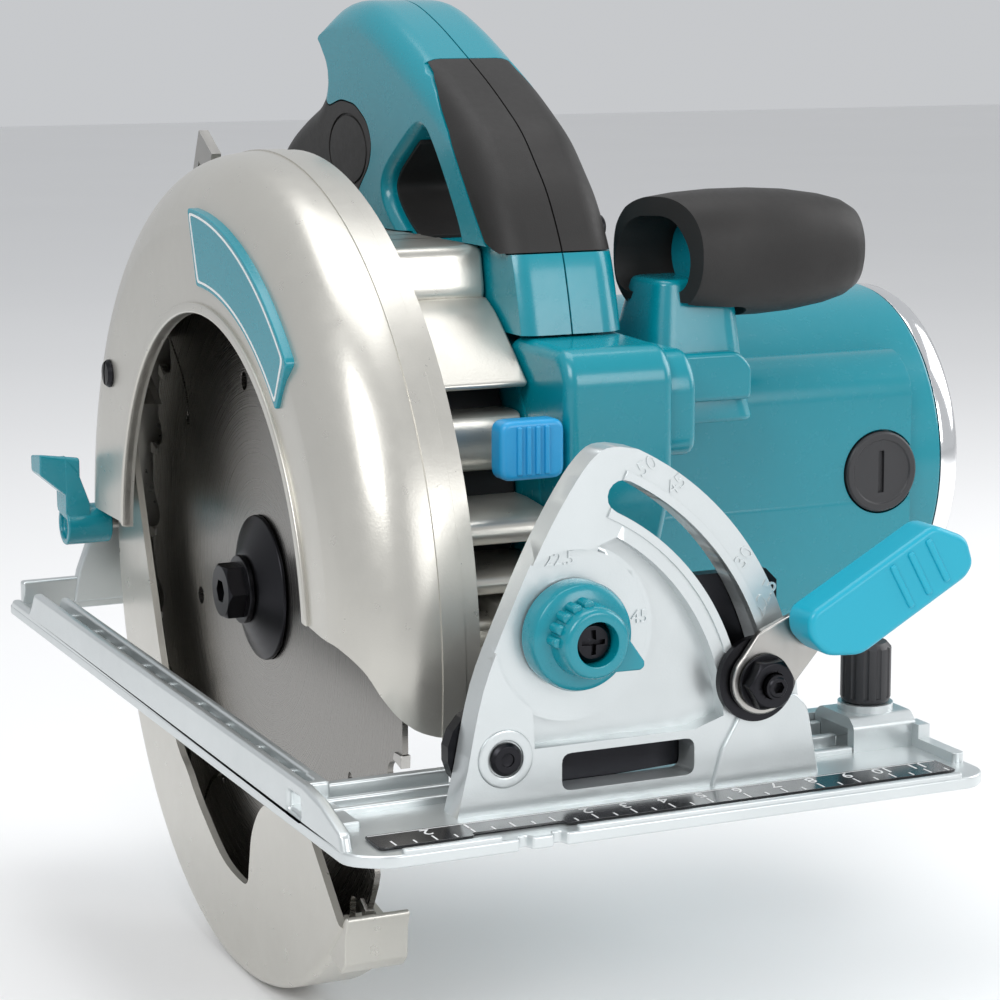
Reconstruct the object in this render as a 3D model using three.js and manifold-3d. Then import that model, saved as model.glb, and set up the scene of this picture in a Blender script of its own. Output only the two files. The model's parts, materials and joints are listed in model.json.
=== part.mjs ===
// A corded circular saw with a 210 mm blade and a cast base that bevels from 0 to 50 degrees.
// Millimetres, +Z up. The origin lies on the underside of the base, on the line of cut,
// below the front bevel pivot. +X points to the motor side and +Y to the rear of the base.
import * as THREE from 'three';
import { mergeVertices } from 'three/addons/utils/BufferGeometryUtils.js';
import Module from 'manifold-3d';

const wasm = await Module();
wasm.setup();

// ---------------------------------------------------------------- driving dimensions

const GAP = 0.35;                 // clearance between pieces that touch

const BLADE_RADIUS = 105;
const BLADE_THICKNESS = 1.8;
const BLADE_TEETH = 24;
const TOOTH_DEPTH = 7;
const ARBOR_Z = 28;               // height of the spindle above the sole at full depth

const BASE_LEFT = -42;
const BASE_RIGHT = 125;
const BASE_FRONT = -22;
const FRONT_BAR = 50;             // front bar of the base, along Y
const SOLE = 3;                   // thickness of the sole plate
const RAIL_WIDTH = 11;
const RAIL_HEIGHT = 12;
const STRIP_RIGHT = 62;           // motor-side edge of the base behind the wing
const SLOT_RIGHT = 31;            // motor-side edge of the blade opening
const REAR_WALL = 4;
const WALL_HEIGHT = 10;

const BEVEL_X = 3.5;              // bevel axis, parallel to Y
const BEVEL_Z = 16;
const BEVEL_RADIUS = 66.5;        // centre line of the curved slot
const SECTOR_RADIUS = 78;         // outer edge of the bevel sector
const SECTOR_BACK = 6;            // rear face of the sector
const SECTOR_FACE = -2;           // front face of its raised arch
const CLAMP_ANGLE = 11;           // place of the clamp bolt on the slot at 0 degrees of bevel
const BEVEL_RANGE = 50;

const DEPTH_Y = 24;               // depth pivot, parallel to X
const DEPTH_Z = 30;
const PIVOT_RADIUS = 4;
const ARM_LEFT = 24;              // pivot arm of the gear housing
const ARM_RIGHT = 38;

const LOWER_CLEARANCE = 5.5;      // from the blade to the outside of the lower guard
const UPPER_CLEARANCE = 16;       // from the blade to the outside of the upper guard
const GUARD_LEFT = -20;
const GUARD_RIGHT = 12;
const GUARD_WALL = 2.5;
const WINDOW_RADIUS = 77.5;       // arched window in the left wall of the upper guard

const SPINDLE_RADIUS = 6;
const BOLT_RADIUS = 4;
const FLANGE_RADIUS = 20.4;
const HUB_RADIUS = 21;            // boss that the lower guard turns on

const GEAR_DISTANCE = 28;         // from the spindle up to the motor shaft
const PINION_TEETH = 8;
const GEAR_TEETH = 43;
const GEAR_LEFT = 24;
const GEAR_RIGHT = 34;

const MOTOR_RADIUS = 48.6;
const MOTOR_WALL = 4;
const MOTOR_END = 190;            // teal housing ends here and the end cap begins
const CAP_END = 198;
const CASE_SEAM = 42;             // face between the gear housing and the motor housing
const NECK_RIGHT = 74;
const HOUSING_TOP = 126;
const SHAFT_RADIUS = 5;

const HANDLE_CENTRE = 56;         // parting plane of the two handle halves
const HANDLE_WIDTH = 34;
const HANDLE_ROUND = 7;
const RUBBER = 2.4;

const GRIP_Y = 88;                // front grip, parallel to X
const GRIP_Z = 122;
const GRIP_LEFT = 83;
const GRIP_RIGHT = 148;
const GRIP_RADIUS = 17;

// ---------------------------------------------------------------- derived places

const UPPER_R = BLADE_RADIUS + UPPER_CLEARANCE;
const LOWER_R = BLADE_RADIUS + LOWER_CLEARANCE;
const OPENING_FRONT = BASE_FRONT + FRONT_BAR;
const ARBOR_Y = OPENING_FRONT + 3 + UPPER_R;
const OPENING_REAR = ARBOR_Y + UPPER_R + 1;
const BASE_REAR = OPENING_REAR + REAR_WALL;
const MOTOR_Z = ARBOR_Z + GEAR_DISTANCE;
const DEPTH_BOLT_Y = OPENING_REAR - 7;
const DEPTH_BOLT_Z = 28.5;
const DEPTH_BOLT_RADIUS = 2.2;
const HOUSING_LEFT = GUARD_RIGHT + GAP;
const HOUSING_RIGHT = CASE_SEAM - GAP;
const HANDLE_LEFT = HANDLE_CENTRE - HANDLE_WIDTH / 2;
const HANDLE_RIGHT = HANDLE_CENTRE + HANDLE_WIDTH / 2;

// ---------------------------------------------------------------- looks

const look = (color, roughness, metalness) => new THREE.MeshStandardMaterial({ color, roughness, metalness });
const TEAL = () => look(0x008696, 0.3, 0);
const LEVER_TEAL = () => look(0x00a5be, 0.4, 0);
const BLUE = () => look(0x1496cd, 0.4, 0);
const RUBBER_GREY = () => look(0x464442, 0.75, 0);
const CAST_SILVER = () => look(0xb4bbbb, 0.42, 0.8);
const CAST_WARM = () => look(0xacaaa0, 0.38, 0.8);
const POLISHED = () => look(0xdadcdc, 0.12, 1);
const STEEL = () => look(0x9a9c9c, 0.35, 1);
const DARK_STEEL = () => look(0x2c2c2e, 0.45, 0.9);
const BLACK_PLASTIC = () => look(0x1c1c1e, 0.55, 0);
const COPPER = () => look(0xb56a3a, 0.4, 1);
const CARBON = () => look(0x303032, 0.8, 0.2);

// ---------------------------------------------------------------- solids

const radians = (degrees) => degrees * Math.PI / 180;

// A closed geometry as a solid that can be joined and cut, with its faces pointing out.
function solid(geometry) {
  const bare = geometry.clone();
  bare.deleteAttribute('normal');
  bare.deleteAttribute('uv');
  const merged = mergeVertices(bare, 1e-4);
  const place = merged.attributes.position.array;
  const corners = merged.index.array;
  const triangles = [];
  for (let i = 0; i < corners.length; i += 3) {
    const [a, b, c] = [corners[i], corners[i + 1], corners[i + 2]];
    if (a !== b && b !== c && c !== a) triangles.push([a, b, c]);
  }
  const point = (i) => new THREE.Vector3().fromArray(place, 3 * i);
  const volume = triangles.reduce((sum, [a, b, c]) => sum + point(a).dot(point(b).cross(point(c))), 0);
  if (volume < 0) triangles.forEach((t) => t.reverse());
  return new wasm.Manifold(new wasm.Mesh({
    numProp: 3,
    vertProperties: new Float32Array(place),
    triVerts: new Uint32Array(triangles.flat()),
  }));
}

function geometryOf(manifold) {
  const mesh = manifold.getMesh();
  const geometry = new THREE.BufferGeometry();
  geometry.setAttribute('position', new THREE.BufferAttribute(mesh.vertProperties, 3));
  geometry.setIndex(new THREE.BufferAttribute(mesh.triVerts, 1));
  geometry.computeVertexNormals();
  return geometry;
}

const join = (...solids) => solids.reduce((a, b) => a.add(b));
const cut = (body, ...tools) => tools.reduce((a, b) => a.subtract(b), body);

const shapeOf = (outline) => new THREE.Shape(outline.map(([u, v]) => new THREE.Vector2(u, v)));

// Extrudes an outline by a depth; a bevel rounds both ends and keeps the outer size, and inset shrinks it.
function extruded(outline, depth, bevel = 0, inset = 0, steps = 2) {
  const geometry = new THREE.ExtrudeGeometry(shapeOf(outline), {
    depth: depth - 2 * bevel,
    bevelEnabled: bevel > 0,
    bevelThickness: bevel,
    bevelSize: bevel,
    bevelOffset: -bevel - inset,
    bevelSegments: steps,
  });
  return geometry.translate(0, 0, bevel);
}

// Outline in (Y, Z), from x0 to x1.
function prismX(outline, x0, x1, bevel = 0, inset = 0, steps = 2) {
  const geometry = extruded(outline, x1 - x0, bevel, inset, steps);
  return solid(geometry.applyMatrix4(new THREE.Matrix4().set(0, 0, 1, x0, 1, 0, 0, 0, 0, 1, 0, 0, 0, 0, 0, 1)));
}

// Outline in (X, Z), from y0 to y1.
function prismY(outline, y0, y1, bevel = 0) {
  const geometry = extruded(outline, y1 - y0, bevel);
  return solid(geometry.applyMatrix4(new THREE.Matrix4().set(1, 0, 0, 0, 0, 0, -1, y1, 0, 1, 0, 0, 0, 0, 0, 1)));
}

// Outline in (X, Y), from z0 to z1.
const prismZ = (outline, z0, z1, bevel = 0) => solid(extruded(outline, z1 - z0, bevel).translate(0, 0, z0));

function box(x0, x1, y0, y1, z0, z1) {
  const geometry = new THREE.BoxGeometry(x1 - x0, y1 - y0, z1 - z0);
  return solid(geometry.translate((x0 + x1) / 2, (y0 + y1) / 2, (z0 + z1) / 2));
}

const rectangle = (u0, u1, v0, v1) => [[u0, v0], [u1, v0], [u1, v1], [u0, v1]];

// Points of an arc in a plane, from one angle to another in degrees.
function arc(u, v, radius, from, to, steps) {
  return Array.from({ length: steps + 1 }, (_, i) => {
    const angle = radians(from + (to - from) * i / steps);
    return [u + radius * Math.cos(angle), v + radius * Math.sin(angle)];
  });
}

// A smooth open curve through a few points.
function smooth(points, steps) {
  const curve = new THREE.SplineCurve(points.map(([u, v]) => new THREE.Vector2(u, v)));
  return curve.getPoints(steps).map((p) => [p.x, p.y]);
}

// Turns a profile of [radius, along] pairs about a line parallel to an axis.
function turned(axis, centre, profile, segments = 24) {
  const geometry = new THREE.LatheGeometry(profile.map(([r, a]) => new THREE.Vector2(r, a)), segments);
  if (axis === 'x') geometry.rotateZ(-Math.PI / 2);
  if (axis === 'z') geometry.rotateX(Math.PI / 2);
  return solid(geometry.translate(...centre));
}

const rod = (axis, centre, radius, from, to, segments = 24) =>
  turned(axis, centre, [[0, from], [radius, from], [radius, to], [0, to]], segments);

const ring = (axis, centre, inner, outer, from, to, segments = 24) =>
  turned(axis, centre, [[inner, from], [outer, from], [outer, to], [inner, to], [inner, from]], segments);

const ARBOR = [0, ARBOR_Y, ARBOR_Z];
const MOTOR = [0, ARBOR_Y, MOTOR_Z];
const fromArbor = (dy, dz) => [ARBOR_Y + dy, ARBOR_Z + dz];

const saw = new THREE.Group();

// Adds a mesh whose own origin is at the given place, so that it turns and slides about it.
function add(name, body, material, place = [0, 0, 0]) {
  const mesh = new THREE.Mesh(geometryOf(body.translate(place.map((value) => -value))), material);
  mesh.name = name;
  mesh.position.set(...place);
  saw.add(mesh);
  return mesh;
}

// ---------------------------------------------------------------- base

function solePlate() {
  const outer = [
    [BASE_LEFT, BASE_FRONT + 8], [BASE_LEFT + 2.5, BASE_FRONT + 2.5], [BASE_LEFT + 8, BASE_FRONT],
    [BASE_RIGHT - 6, BASE_FRONT], [BASE_RIGHT, BASE_FRONT + 6],
    [BASE_RIGHT, OPENING_FRONT], [BASE_RIGHT - 4, OPENING_FRONT + 5], [STRIP_RIGHT + 4, OPENING_FRONT + 5],
    [STRIP_RIGHT, OPENING_FRONT + 9], [STRIP_RIGHT, BASE_REAR - 4], [STRIP_RIGHT - 4, BASE_REAR],
    [BASE_LEFT + 4, BASE_REAR], [BASE_LEFT, BASE_REAR - 4],
  ];
  const bay = GEAR_TEETH / (GEAR_TEETH + PINION_TEETH) * GEAR_DISTANCE + 10;
  return cut(
    prismZ(outer, 0, SOLE),
    box(BASE_LEFT + RAIL_WIDTH, SLOT_RIGHT, OPENING_FRONT, OPENING_REAR, -1, SOLE + 1),
    box(SLOT_RIGHT - 1, CASE_SEAM + 4, ARBOR_Y - bay, ARBOR_Y + bay, -1, SOLE + 1),
  );
}

const FENCE_FRONT = 12;           // channel that a rip fence slides through
const FENCE_REAR = 25;
const FENCE_TOP = 8.5;
const BOSS_X = 113;

function baseWalls() {
  const relief = OPENING_REAR - 22;
  const railInner = BASE_LEFT + RAIL_WIDTH;
  const outerWall = [
    [BASE_FRONT + 10, SOLE - 1], [BASE_FRONT + 12, RAIL_HEIGHT - 4], [BASE_FRONT + 26, RAIL_HEIGHT],
    [relief - 6, RAIL_HEIGHT], [relief, 5], [BASE_REAR - 5, 5], [BASE_REAR - 5, SOLE - 1],
  ];
  const innerWall = [
    [OPENING_FRONT - 4, SOLE - 1], [OPENING_FRONT - 4, RAIL_HEIGHT - 2], [relief - 6, RAIL_HEIGHT - 2],
    [relief, 5], [OPENING_REAR, 5], [OPENING_REAR, SOLE - 1],
  ];
  const ribs = [0, 1, 2, 3, 4, 5].map((i) => {
    const y = OPENING_FRONT + 10 + i * (relief - 20 - OPENING_FRONT) / 5;
    return box(BASE_LEFT + 1, railInner - 1, y - 1, y + 1, SOLE - 1, SOLE + 4);
  });
  return join(
    prismX(outerWall, BASE_LEFT, BASE_LEFT + 2.4),
    prismX(innerWall, railInner - 2.4, railInner),
    ...ribs,
    box(BASE_LEFT + 1, railInner, OPENING_FRONT - 7, OPENING_FRONT - 4.6, SOLE - 1, RAIL_HEIGHT - 2),
    box(railInner - 1, SLOT_RIGHT - 10, OPENING_FRONT - 3, OPENING_FRONT, SOLE - 1, 6.5),
    box(BASE_LEFT + 4, STRIP_RIGHT - 2, OPENING_REAR, BASE_REAR, SOLE - 1, WALL_HEIGHT),
    box(STRIP_RIGHT - 3, STRIP_RIGHT, OPENING_FRONT + 9, BASE_REAR - 3, SOLE - 1, 6),
    box(STRIP_RIGHT + 4, BASE_RIGHT - 4, OPENING_FRONT + 1.6, OPENING_FRONT + 5, SOLE - 1, WALL_HEIGHT),
    box(BASE_RIGHT - 3.4, BASE_RIGHT, BASE_FRONT + 8, OPENING_FRONT, SOLE - 1, 7),
    box(BASE_LEFT + 10, BASE_RIGHT - 8, BASE_FRONT, BASE_FRONT + 1.6, SOLE - 1, SOLE + 1),
  );
}

function fenceClampBoss() {
  const bridge = join(
    box(BOSS_X - 8, BOSS_X + 8, FENCE_FRONT - 3, FENCE_FRONT, SOLE - 1, FENCE_TOP + 1),
    box(BOSS_X - 8, BOSS_X + 8, FENCE_REAR, FENCE_REAR + 3, SOLE - 1, FENCE_TOP + 1),
    box(BOSS_X - 8, BOSS_X + 8, FENCE_FRONT - 3, FENCE_REAR + 3, FENCE_TOP, FENCE_TOP + 3),
    rod('z', [BOSS_X, (FENCE_FRONT + FENCE_REAR) / 2, 0], 7, FENCE_TOP, FENCE_TOP + 5),
  );
  return cut(bridge, rod('z', [BOSS_X, (FENCE_FRONT + FENCE_REAR) / 2, 0], 3.3, SOLE + 2, FENCE_TOP + 6, 16));
}

const KNOB_X = 21;
const KNOB_Z = 44;
const KNOB_RADIUS = 15.5;

function bevelSector() {
  const arch = arc(BEVEL_X, BEVEL_Z, SECTOR_RADIUS, 0, 66, 22);
  const outline = [
    [-9, SOLE - 1], [BEVEL_X + SECTOR_RADIUS + 4, SOLE - 1], [BEVEL_X + SECTOR_RADIUS, SOLE + 7], ...arch,
    [27, 85], [20, 77], [11, 62], [3, 45], [-2.5, 30], [-6, 16],
  ];
  const inner = [
    [9, 17.5], [54, 17.5], ...arc(BEVEL_X, BEVEL_Z, BEVEL_RADIUS - 8.5, 5, 62, 14), [22, 58], [14, 42], [10, 28],
  ];
  const slot = [
    ...arc(BEVEL_X, BEVEL_Z, BEVEL_RADIUS + 3.9, CLAMP_ANGLE - 4, CLAMP_ANGLE + BEVEL_RANGE + 3, 16),
    ...arc(BEVEL_X, BEVEL_Z, BEVEL_RADIUS - 3.9, CLAMP_ANGLE + BEVEL_RANGE + 3, CLAMP_ANGLE - 4, 16),
  ];
  return cut(
    join(
      cut(prismY(outline, SECTOR_FACE, SECTOR_BACK), prismY(inner, SECTOR_FACE - 1, 2.5)),
      rod('y', [KNOB_X, 0, KNOB_Z], KNOB_RADIUS + 4.5, -0.8, 3, 28),
    ),
    prismY(slot, SECTOR_FACE - 1, SECTOR_BACK + 1),
    prismY(rectangle(18, 53, 6.5, 15.5), SECTOR_FACE - 1, SECTOR_BACK + 1),
    rod('y', [BEVEL_X, 0, BEVEL_Z], PIVOT_RADIUS + GAP, SECTOR_FACE - 1, SECTOR_BACK + 1),
    rod('y', [KNOB_X, 0, KNOB_Z], KNOB_RADIUS + 4, SECTOR_FACE - 1, -0.8, 28),
    rod('y', [KNOB_X, 0, KNOB_Z], 2.2 + GAP, SECTOR_FACE - 1, SECTOR_BACK + 1, 16),
  );
}

function rearBracket() {
  const plate = [
    [-22, SOLE - 1], [18, SOLE - 1], [16, 24], ...arc(BEVEL_X, BEVEL_Z, 15, 35, 90, 5),
    [-13, 31], [-15, 25], [-20, 12],
  ];
  return cut(
    prismY(plate, OPENING_REAR, BASE_REAR),
    rod('y', [BEVEL_X, 0, BEVEL_Z], PIVOT_RADIUS + GAP, OPENING_REAR - 1, BASE_REAR + 1),
  );
}

function basePlate() {
  const fenceHole = box(BASE_LEFT - 1, BASE_LEFT + RAIL_WIDTH + 1, FENCE_FRONT, FENCE_REAR - 4, SOLE, FENCE_TOP);
  const wingHole = box(BASE_RIGHT - 4, BASE_RIGHT + 1, FENCE_FRONT, FENCE_REAR, SOLE, FENCE_TOP);
  return cut(join(solePlate(), baseWalls(), fenceClampBoss(), bevelSector(), rearBracket()), fenceHole, wingHole);
}

add('base_plate', basePlate(), CAST_SILVER());

add('edge_scale', prismZ(
  [[-34, -17.5], [-11, -17.5], [-11, -14.5], [10, -14.5], [10, -17.5], [117, -17.5], [117, -7.5], [-34, -7.5]],
  SOLE + GAP, SOLE + GAP + 0.5), BLACK_PLASTIC());

const pin = (from, to) => rod('y', [BEVEL_X, 0, BEVEL_Z], PIVOT_RADIUS, from, to);
add('front_bevel_pin', pin(SECTOR_FACE - 1, 12), DARK_STEEL(), [BEVEL_X, 0, BEVEL_Z]);

// ---------------------------------------------------------------- positive stop, clamp screw

function stopperKnob() {
  const pointer = [[-2.4, 5], [2.4, 5], [0.9, KNOB_RADIUS - 1], [-0.9, KNOB_RADIUS - 1]];
  const turn = radians(-118);
  const turnedPointer = pointer.map(([u, v]) => [
    KNOB_X + u * Math.cos(turn) - v * Math.sin(turn), KNOB_Z + u * Math.sin(turn) + v * Math.cos(turn)]);
  const centre = [KNOB_X, 0, KNOB_Z];
  return cut(
    join(
      turned('y', centre, [[0, -8], [KNOB_RADIUS - 2, -8], [KNOB_RADIUS, -6.5], [KNOB_RADIUS, -1.3], [0, -1.3]], 36),
      rod('y', centre, 8.5, -15, -7, 24),
      prismY(turnedPointer, -12, -7),
    ),
    rod('y', centre, 5.6, -16, -9.5),
    rod('y', centre, 2.2 + GAP, -16, 0, 16),
  );
}

add('stopper_knob', stopperKnob(), TEAL(), [KNOB_X, 0, KNOB_Z]);

const screw = (axis, centre, head, shank, headFrom, headTo, end, segments = 14) => {
  const profile = [[0, headFrom], [head, headFrom], [head, headTo], [shank, headTo], [shank, end], [0, end]];
  return turned(axis, centre, profile, segments);
};
add('stopper_screw', screw('y', [KNOB_X, 0, KNOB_Z], 4.8, 2.2, -12.6, -9.5 - GAP, SECTOR_BACK, 18), DARK_STEEL());

const CLAMP_SCREW = [BOSS_X, (FENCE_FRONT + FENCE_REAR) / 2, 0];
add('fence_clamp_screw', turned('z', CLAMP_SCREW, [
  [0, FENCE_TOP + GAP], [3, FENCE_TOP + GAP], [3, FENCE_TOP + 5 + GAP], [6, FENCE_TOP + 5 + GAP], [6.4, 28], [5.2, 29], [0, 29],
]), BLACK_PLASTIC(), CLAMP_SCREW);

// ---------------------------------------------------------------- tilting angle plate and its clamp

const CLAMP = [
  BEVEL_X + BEVEL_RADIUS * Math.cos(radians(CLAMP_ANGLE)), 0, BEVEL_Z + BEVEL_RADIUS * Math.sin(radians(CLAMP_ANGLE))];
const PLATE_FRONT = SECTOR_BACK + 0.4;
const PLATE_BACK = PLATE_FRONT + 4;

function anglePlate() {
  const outline = [
    ...arc(BEVEL_X, BEVEL_Z, 11, 110, 270, 8), [CLAMP[0] + 6, BEVEL_Z - 8],
    [CLAMP[0] + 11, BEVEL_Z], [CLAMP[0] + 11, 50], [CLAMP[0] + 8, 53], [46, 53], [20, 33],
  ];
  const lug = [
    [PLATE_FRONT + 1, DEPTH_Z - 9], [DEPTH_Y, DEPTH_Z - 9], ...arc(DEPTH_Y, DEPTH_Z, 9, -70, 70, 8),
    [PLATE_FRONT + 1, DEPTH_Z + 9]];
  return cut(
    join(
      prismY(outline, PLATE_FRONT, PLATE_BACK),
      prismX(lug, ARM_LEFT - GAP - 6, ARM_LEFT - GAP),
      prismX(lug, ARM_RIGHT + GAP, ARM_RIGHT + GAP + 6),
    ),
    rod('y', [BEVEL_X, 0, BEVEL_Z], PIVOT_RADIUS + GAP, 0, 14),
    rod('x', [0, DEPTH_Y, DEPTH_Z], PIVOT_RADIUS + GAP, ARM_LEFT - 10, ARM_RIGHT + 10),
    rod('y', CLAMP, 3.1 + GAP, 0, 14, 16),
    rod('y', [KNOB_X, 0, KNOB_Z], 4, 0, 14, 16),
  );
}

const BEVEL_AXIS = [BEVEL_X, 0, BEVEL_Z];
add('angle_plate', anglePlate(), DARK_STEEL(), BEVEL_AXIS);
add('depth_pivot_pin', rod('x', [0, DEPTH_Y, DEPTH_Z], PIVOT_RADIUS, ARM_LEFT - 8, ARM_RIGHT + 8), STEEL(),
  [0, DEPTH_Y, DEPTH_Z]);
add('bevel_clamp_bolt', turned('y', CLAMP, [
  [0, -14.5], [3.1, -14.5], [3.1, PLATE_BACK + GAP], [6, PLATE_BACK + GAP], [6, PLATE_BACK + 4], [0, PLATE_BACK + 4],
], 18), DARK_STEEL(), CLAMP);
add('bevel_clamp_washer', ring('y', CLAMP, 3.1 + GAP, 14, SECTOR_FACE - 2.4, SECTOR_FACE - 0.4, 28), DARK_STEEL(),
  CLAMP);

// Lever that turns the clamp nut; its plate, nut and grip are separate pieces.
const LEVER_RISE = 24;            // angle of the lever grip above the horizontal
const LEVER_LENGTH = 56;

function leverPoint(along, across) {
  const angle = radians(LEVER_RISE);
  return [CLAMP[0] + along * Math.cos(angle) - across * Math.sin(angle),
    CLAMP[2] + along * Math.sin(angle) + across * Math.cos(angle)];
}

const leverPlate = cut(
  prismY([
    ...arc(CLAMP[0], CLAMP[2], 11, LEVER_RISE + 60, LEVER_RISE + 300, 14),
    leverPoint(16, -7), leverPoint(22, -7), leverPoint(22, 9), leverPoint(14, 9),
  ], SECTOR_FACE - 5, SECTOR_FACE - 2.8),
  rod('y', CLAMP, 3.1 + GAP, -12, 0, 18),
);
add('bevel_lever_plate', leverPlate, STEEL(), CLAMP);

const hexagon = (u, v, radius) => arc(u, v, radius, 0, 300, 5);
const nut = cut(prismY(hexagon(CLAMP[0], CLAMP[2], 8), -12.4, SECTOR_FACE - 5.35, 0.6),
  rod('y', CLAMP, 3.1 + GAP, -14, 0, 18));
add('bevel_clamp_nut', nut, DARK_STEEL(), CLAMP);

const leverGrip = prismY([
  leverPoint(11, 3), leverPoint(11, 9), leverPoint(15, 12.5), leverPoint(LEVER_LENGTH - 14, 13.5),
  leverPoint(LEVER_LENGTH - 7, 10.5), leverPoint(LEVER_LENGTH, -2), leverPoint(LEVER_LENGTH - 2, -5),
  leverPoint(26, -8), leverPoint(16, -7),
], -18.5, SECTOR_FACE - 5.35, 2.5);
add('bevel_lever_grip', cut(leverGrip, rod('y', CLAMP, 12.5, -20, 0, 32)), LEVER_TEAL(), CLAMP);

// ---------------------------------------------------------------- depth guide at the rear

const GUIDE_RADIUS = Math.hypot(DEPTH_BOLT_Y - DEPTH_Y, DEPTH_BOLT_Z - DEPTH_Z);
const GUIDE_LEFT = GUARD_RIGHT + 1;
const GUIDE_RIGHT = GUIDE_LEFT + 3;
const DEPTH_RANGE = 26;

function depthGuide() {
  const band = [
    ...arc(DEPTH_Y, DEPTH_Z, GUIDE_RADIUS + 6.6, -2.6, DEPTH_RANGE + 3, 22),
    ...arc(DEPTH_Y, DEPTH_Z, GUIDE_RADIUS - 7, DEPTH_RANGE + 3, -2.6, 22),
  ];
  const slot = [
    ...arc(DEPTH_Y, DEPTH_Z, GUIDE_RADIUS + 3, -1.4, DEPTH_RANGE + 1, 22),
    ...arc(DEPTH_Y, DEPTH_Z, GUIDE_RADIUS - 3, DEPTH_RANGE + 1, -1.4, 22),
  ];
  const foot = [
    ...arc(BEVEL_X, BEVEL_Z, 7, 60, 300, 10), [GUIDE_RIGHT, BEVEL_Z - 6], [GUIDE_RIGHT, BEVEL_Z + 6]];
  const link = rectangle(DEPTH_BOLT_Y - 5, OPENING_REAR - 0.7, BEVEL_Z - 6, DEPTH_BOLT_Z - 5);
  return cut(
    join(
      cut(prismX(band, GUIDE_LEFT, GUIDE_RIGHT), prismX(slot, GUIDE_LEFT - 1, GUIDE_RIGHT + 1)),
      prismX(link, GUIDE_LEFT, GUIDE_RIGHT),
      prismY(foot, OPENING_REAR - 4.4, OPENING_REAR - 0.6),
    ),
    rod('y', [BEVEL_X, 0, BEVEL_Z], PIVOT_RADIUS + GAP, OPENING_REAR - 6, BASE_REAR),
  );
}

add('depth_guide', depthGuide(), STEEL(), BEVEL_AXIS);
add('rear_bevel_pin', pin(OPENING_REAR - 6, BASE_REAR + 2), DARK_STEEL(), BEVEL_AXIS);

// ---------------------------------------------------------------- guards

const REAR_END = 8;               // the upper guard ends this far above the spindle at the rear
const FRONT_TIP = 17;             // and this far below it at the front

function upperGuard() {
  const r = UPPER_R;
  const w = GUARD_WALL;
  const profile = [
    [60, GUARD_LEFT], [r - 25, GUARD_LEFT], [r - 13, GUARD_LEFT + 2.2], [r - 5, GUARD_LEFT + 7.5],
    [r - 1, GUARD_LEFT + 15], [r, GUARD_LEFT + 22], [r, GUARD_RIGHT], [30, GUARD_RIGHT],
    [30, GUARD_RIGHT - w], [r - w, GUARD_RIGHT - w], [r - w, GUARD_LEFT + 22], [r - w - 1, GUARD_LEFT + 15.7],
    [r - w - 4.6, GUARD_LEFT + 9], [r - 14, GUARD_LEFT + 4.7], [r - 25.5, GUARD_LEFT + w], [60, GUARD_LEFT + w],
    [60, GUARD_LEFT],
  ];
  const shell = turned('x', ARBOR, profile, 84);
  const window = rod('x', [0, ...fromArbor(-8.3, 0.8)], WINDOW_RADIUS, GUARD_LEFT - 1, GUARD_LEFT + 7, 60);
  const lip = ring('x', [0, ...fromArbor(-8.3, 0.8)], WINDOW_RADIUS, WINDOW_RADIUS + 2.2,
    GUARD_LEFT - 1, GUARD_LEFT + w, 60);
  const bottom = [
    [ARBOR_Y - r - 5, ARBOR_Z - FRONT_TIP], [ARBOR_Y - r + 7, ARBOR_Z - FRONT_TIP], [ARBOR_Y - 86, ARBOR_Z + 10],
    [ARBOR_Y - 70, ARBOR_Z + 10], [ARBOR_Y - 40, ARBOR_Z - 22], [ARBOR_Y + 40, ARBOR_Z - 22],
    [ARBOR_Y + 70, ARBOR_Z + REAR_END], [ARBOR_Y + r + 5, ARBOR_Z + REAR_END],
    [ARBOR_Y + r + 5, ARBOR_Z - r - 5], [ARBOR_Y - r - 5, ARBOR_Z - r - 5],
  ];
  const lugX = GUARD_RIGHT - 11;
  const lug = [
    ...arc(ARBOR_Y, ARBOR_Z, LOWER_R + 0.8, -2, 15, 5), ...arc(ARBOR_Y, ARBOR_Z, r - 0.4, 15, 9, 2),
    [OPENING_REAR - 1.6, ARBOR_Z + 16], [OPENING_REAR - 1.6, DEPTH_BOLT_Z - 4.7],
  ];
  const spindleSide = cut(
    join(cut(join(shell, lip), window), rod('x', ARBOR, 36, GUARD_RIGHT - w, GUARD_RIGHT, 36)),
    prismX(bottom, GUARD_LEFT - 2, GUARD_RIGHT - w - 0.01),
    cut(prismX(bottom, GUARD_RIGHT - w - 0.02, GUARD_RIGHT + 1), rod('x', ARBOR, 36, 0, GUARD_RIGHT + 2, 36)),
    rod('x', ARBOR, 30, GUARD_RIGHT - 6, GUARD_RIGHT + 1, 36),
  );
  return cut(
    join(spindleSide, prismX(lug, lugX, GUARD_RIGHT)),
    rod('x', [0, DEPTH_BOLT_Y, DEPTH_BOLT_Z], DEPTH_BOLT_RADIUS + GAP, lugX - 1, GUARD_RIGHT + 1, 16),
  );
}

add('upper_guard', upperGuard(), CAST_WARM(), ARBOR);

function guardBadge() {
  const outer = arc(ARBOR_Y, ARBOR_Z, UPPER_R - 15, 92, 136, 10);
  const inner = arc(ARBOR_Y - 8.3, ARBOR_Z + 0.8, WINDOW_RADIUS + 7, 134, 92, 10);
  return prismX([...outer, ...inner], GUARD_LEFT - 1.6, GUARD_LEFT - GAP);
}
add('guard_badge', guardBadge(), TEAL());

// Lower guard: two side walls and an outer band that wrap the underside of the blade.
const LOWER_LEFT = -10.6;
const LOWER_RIGHT = 8;

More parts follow.
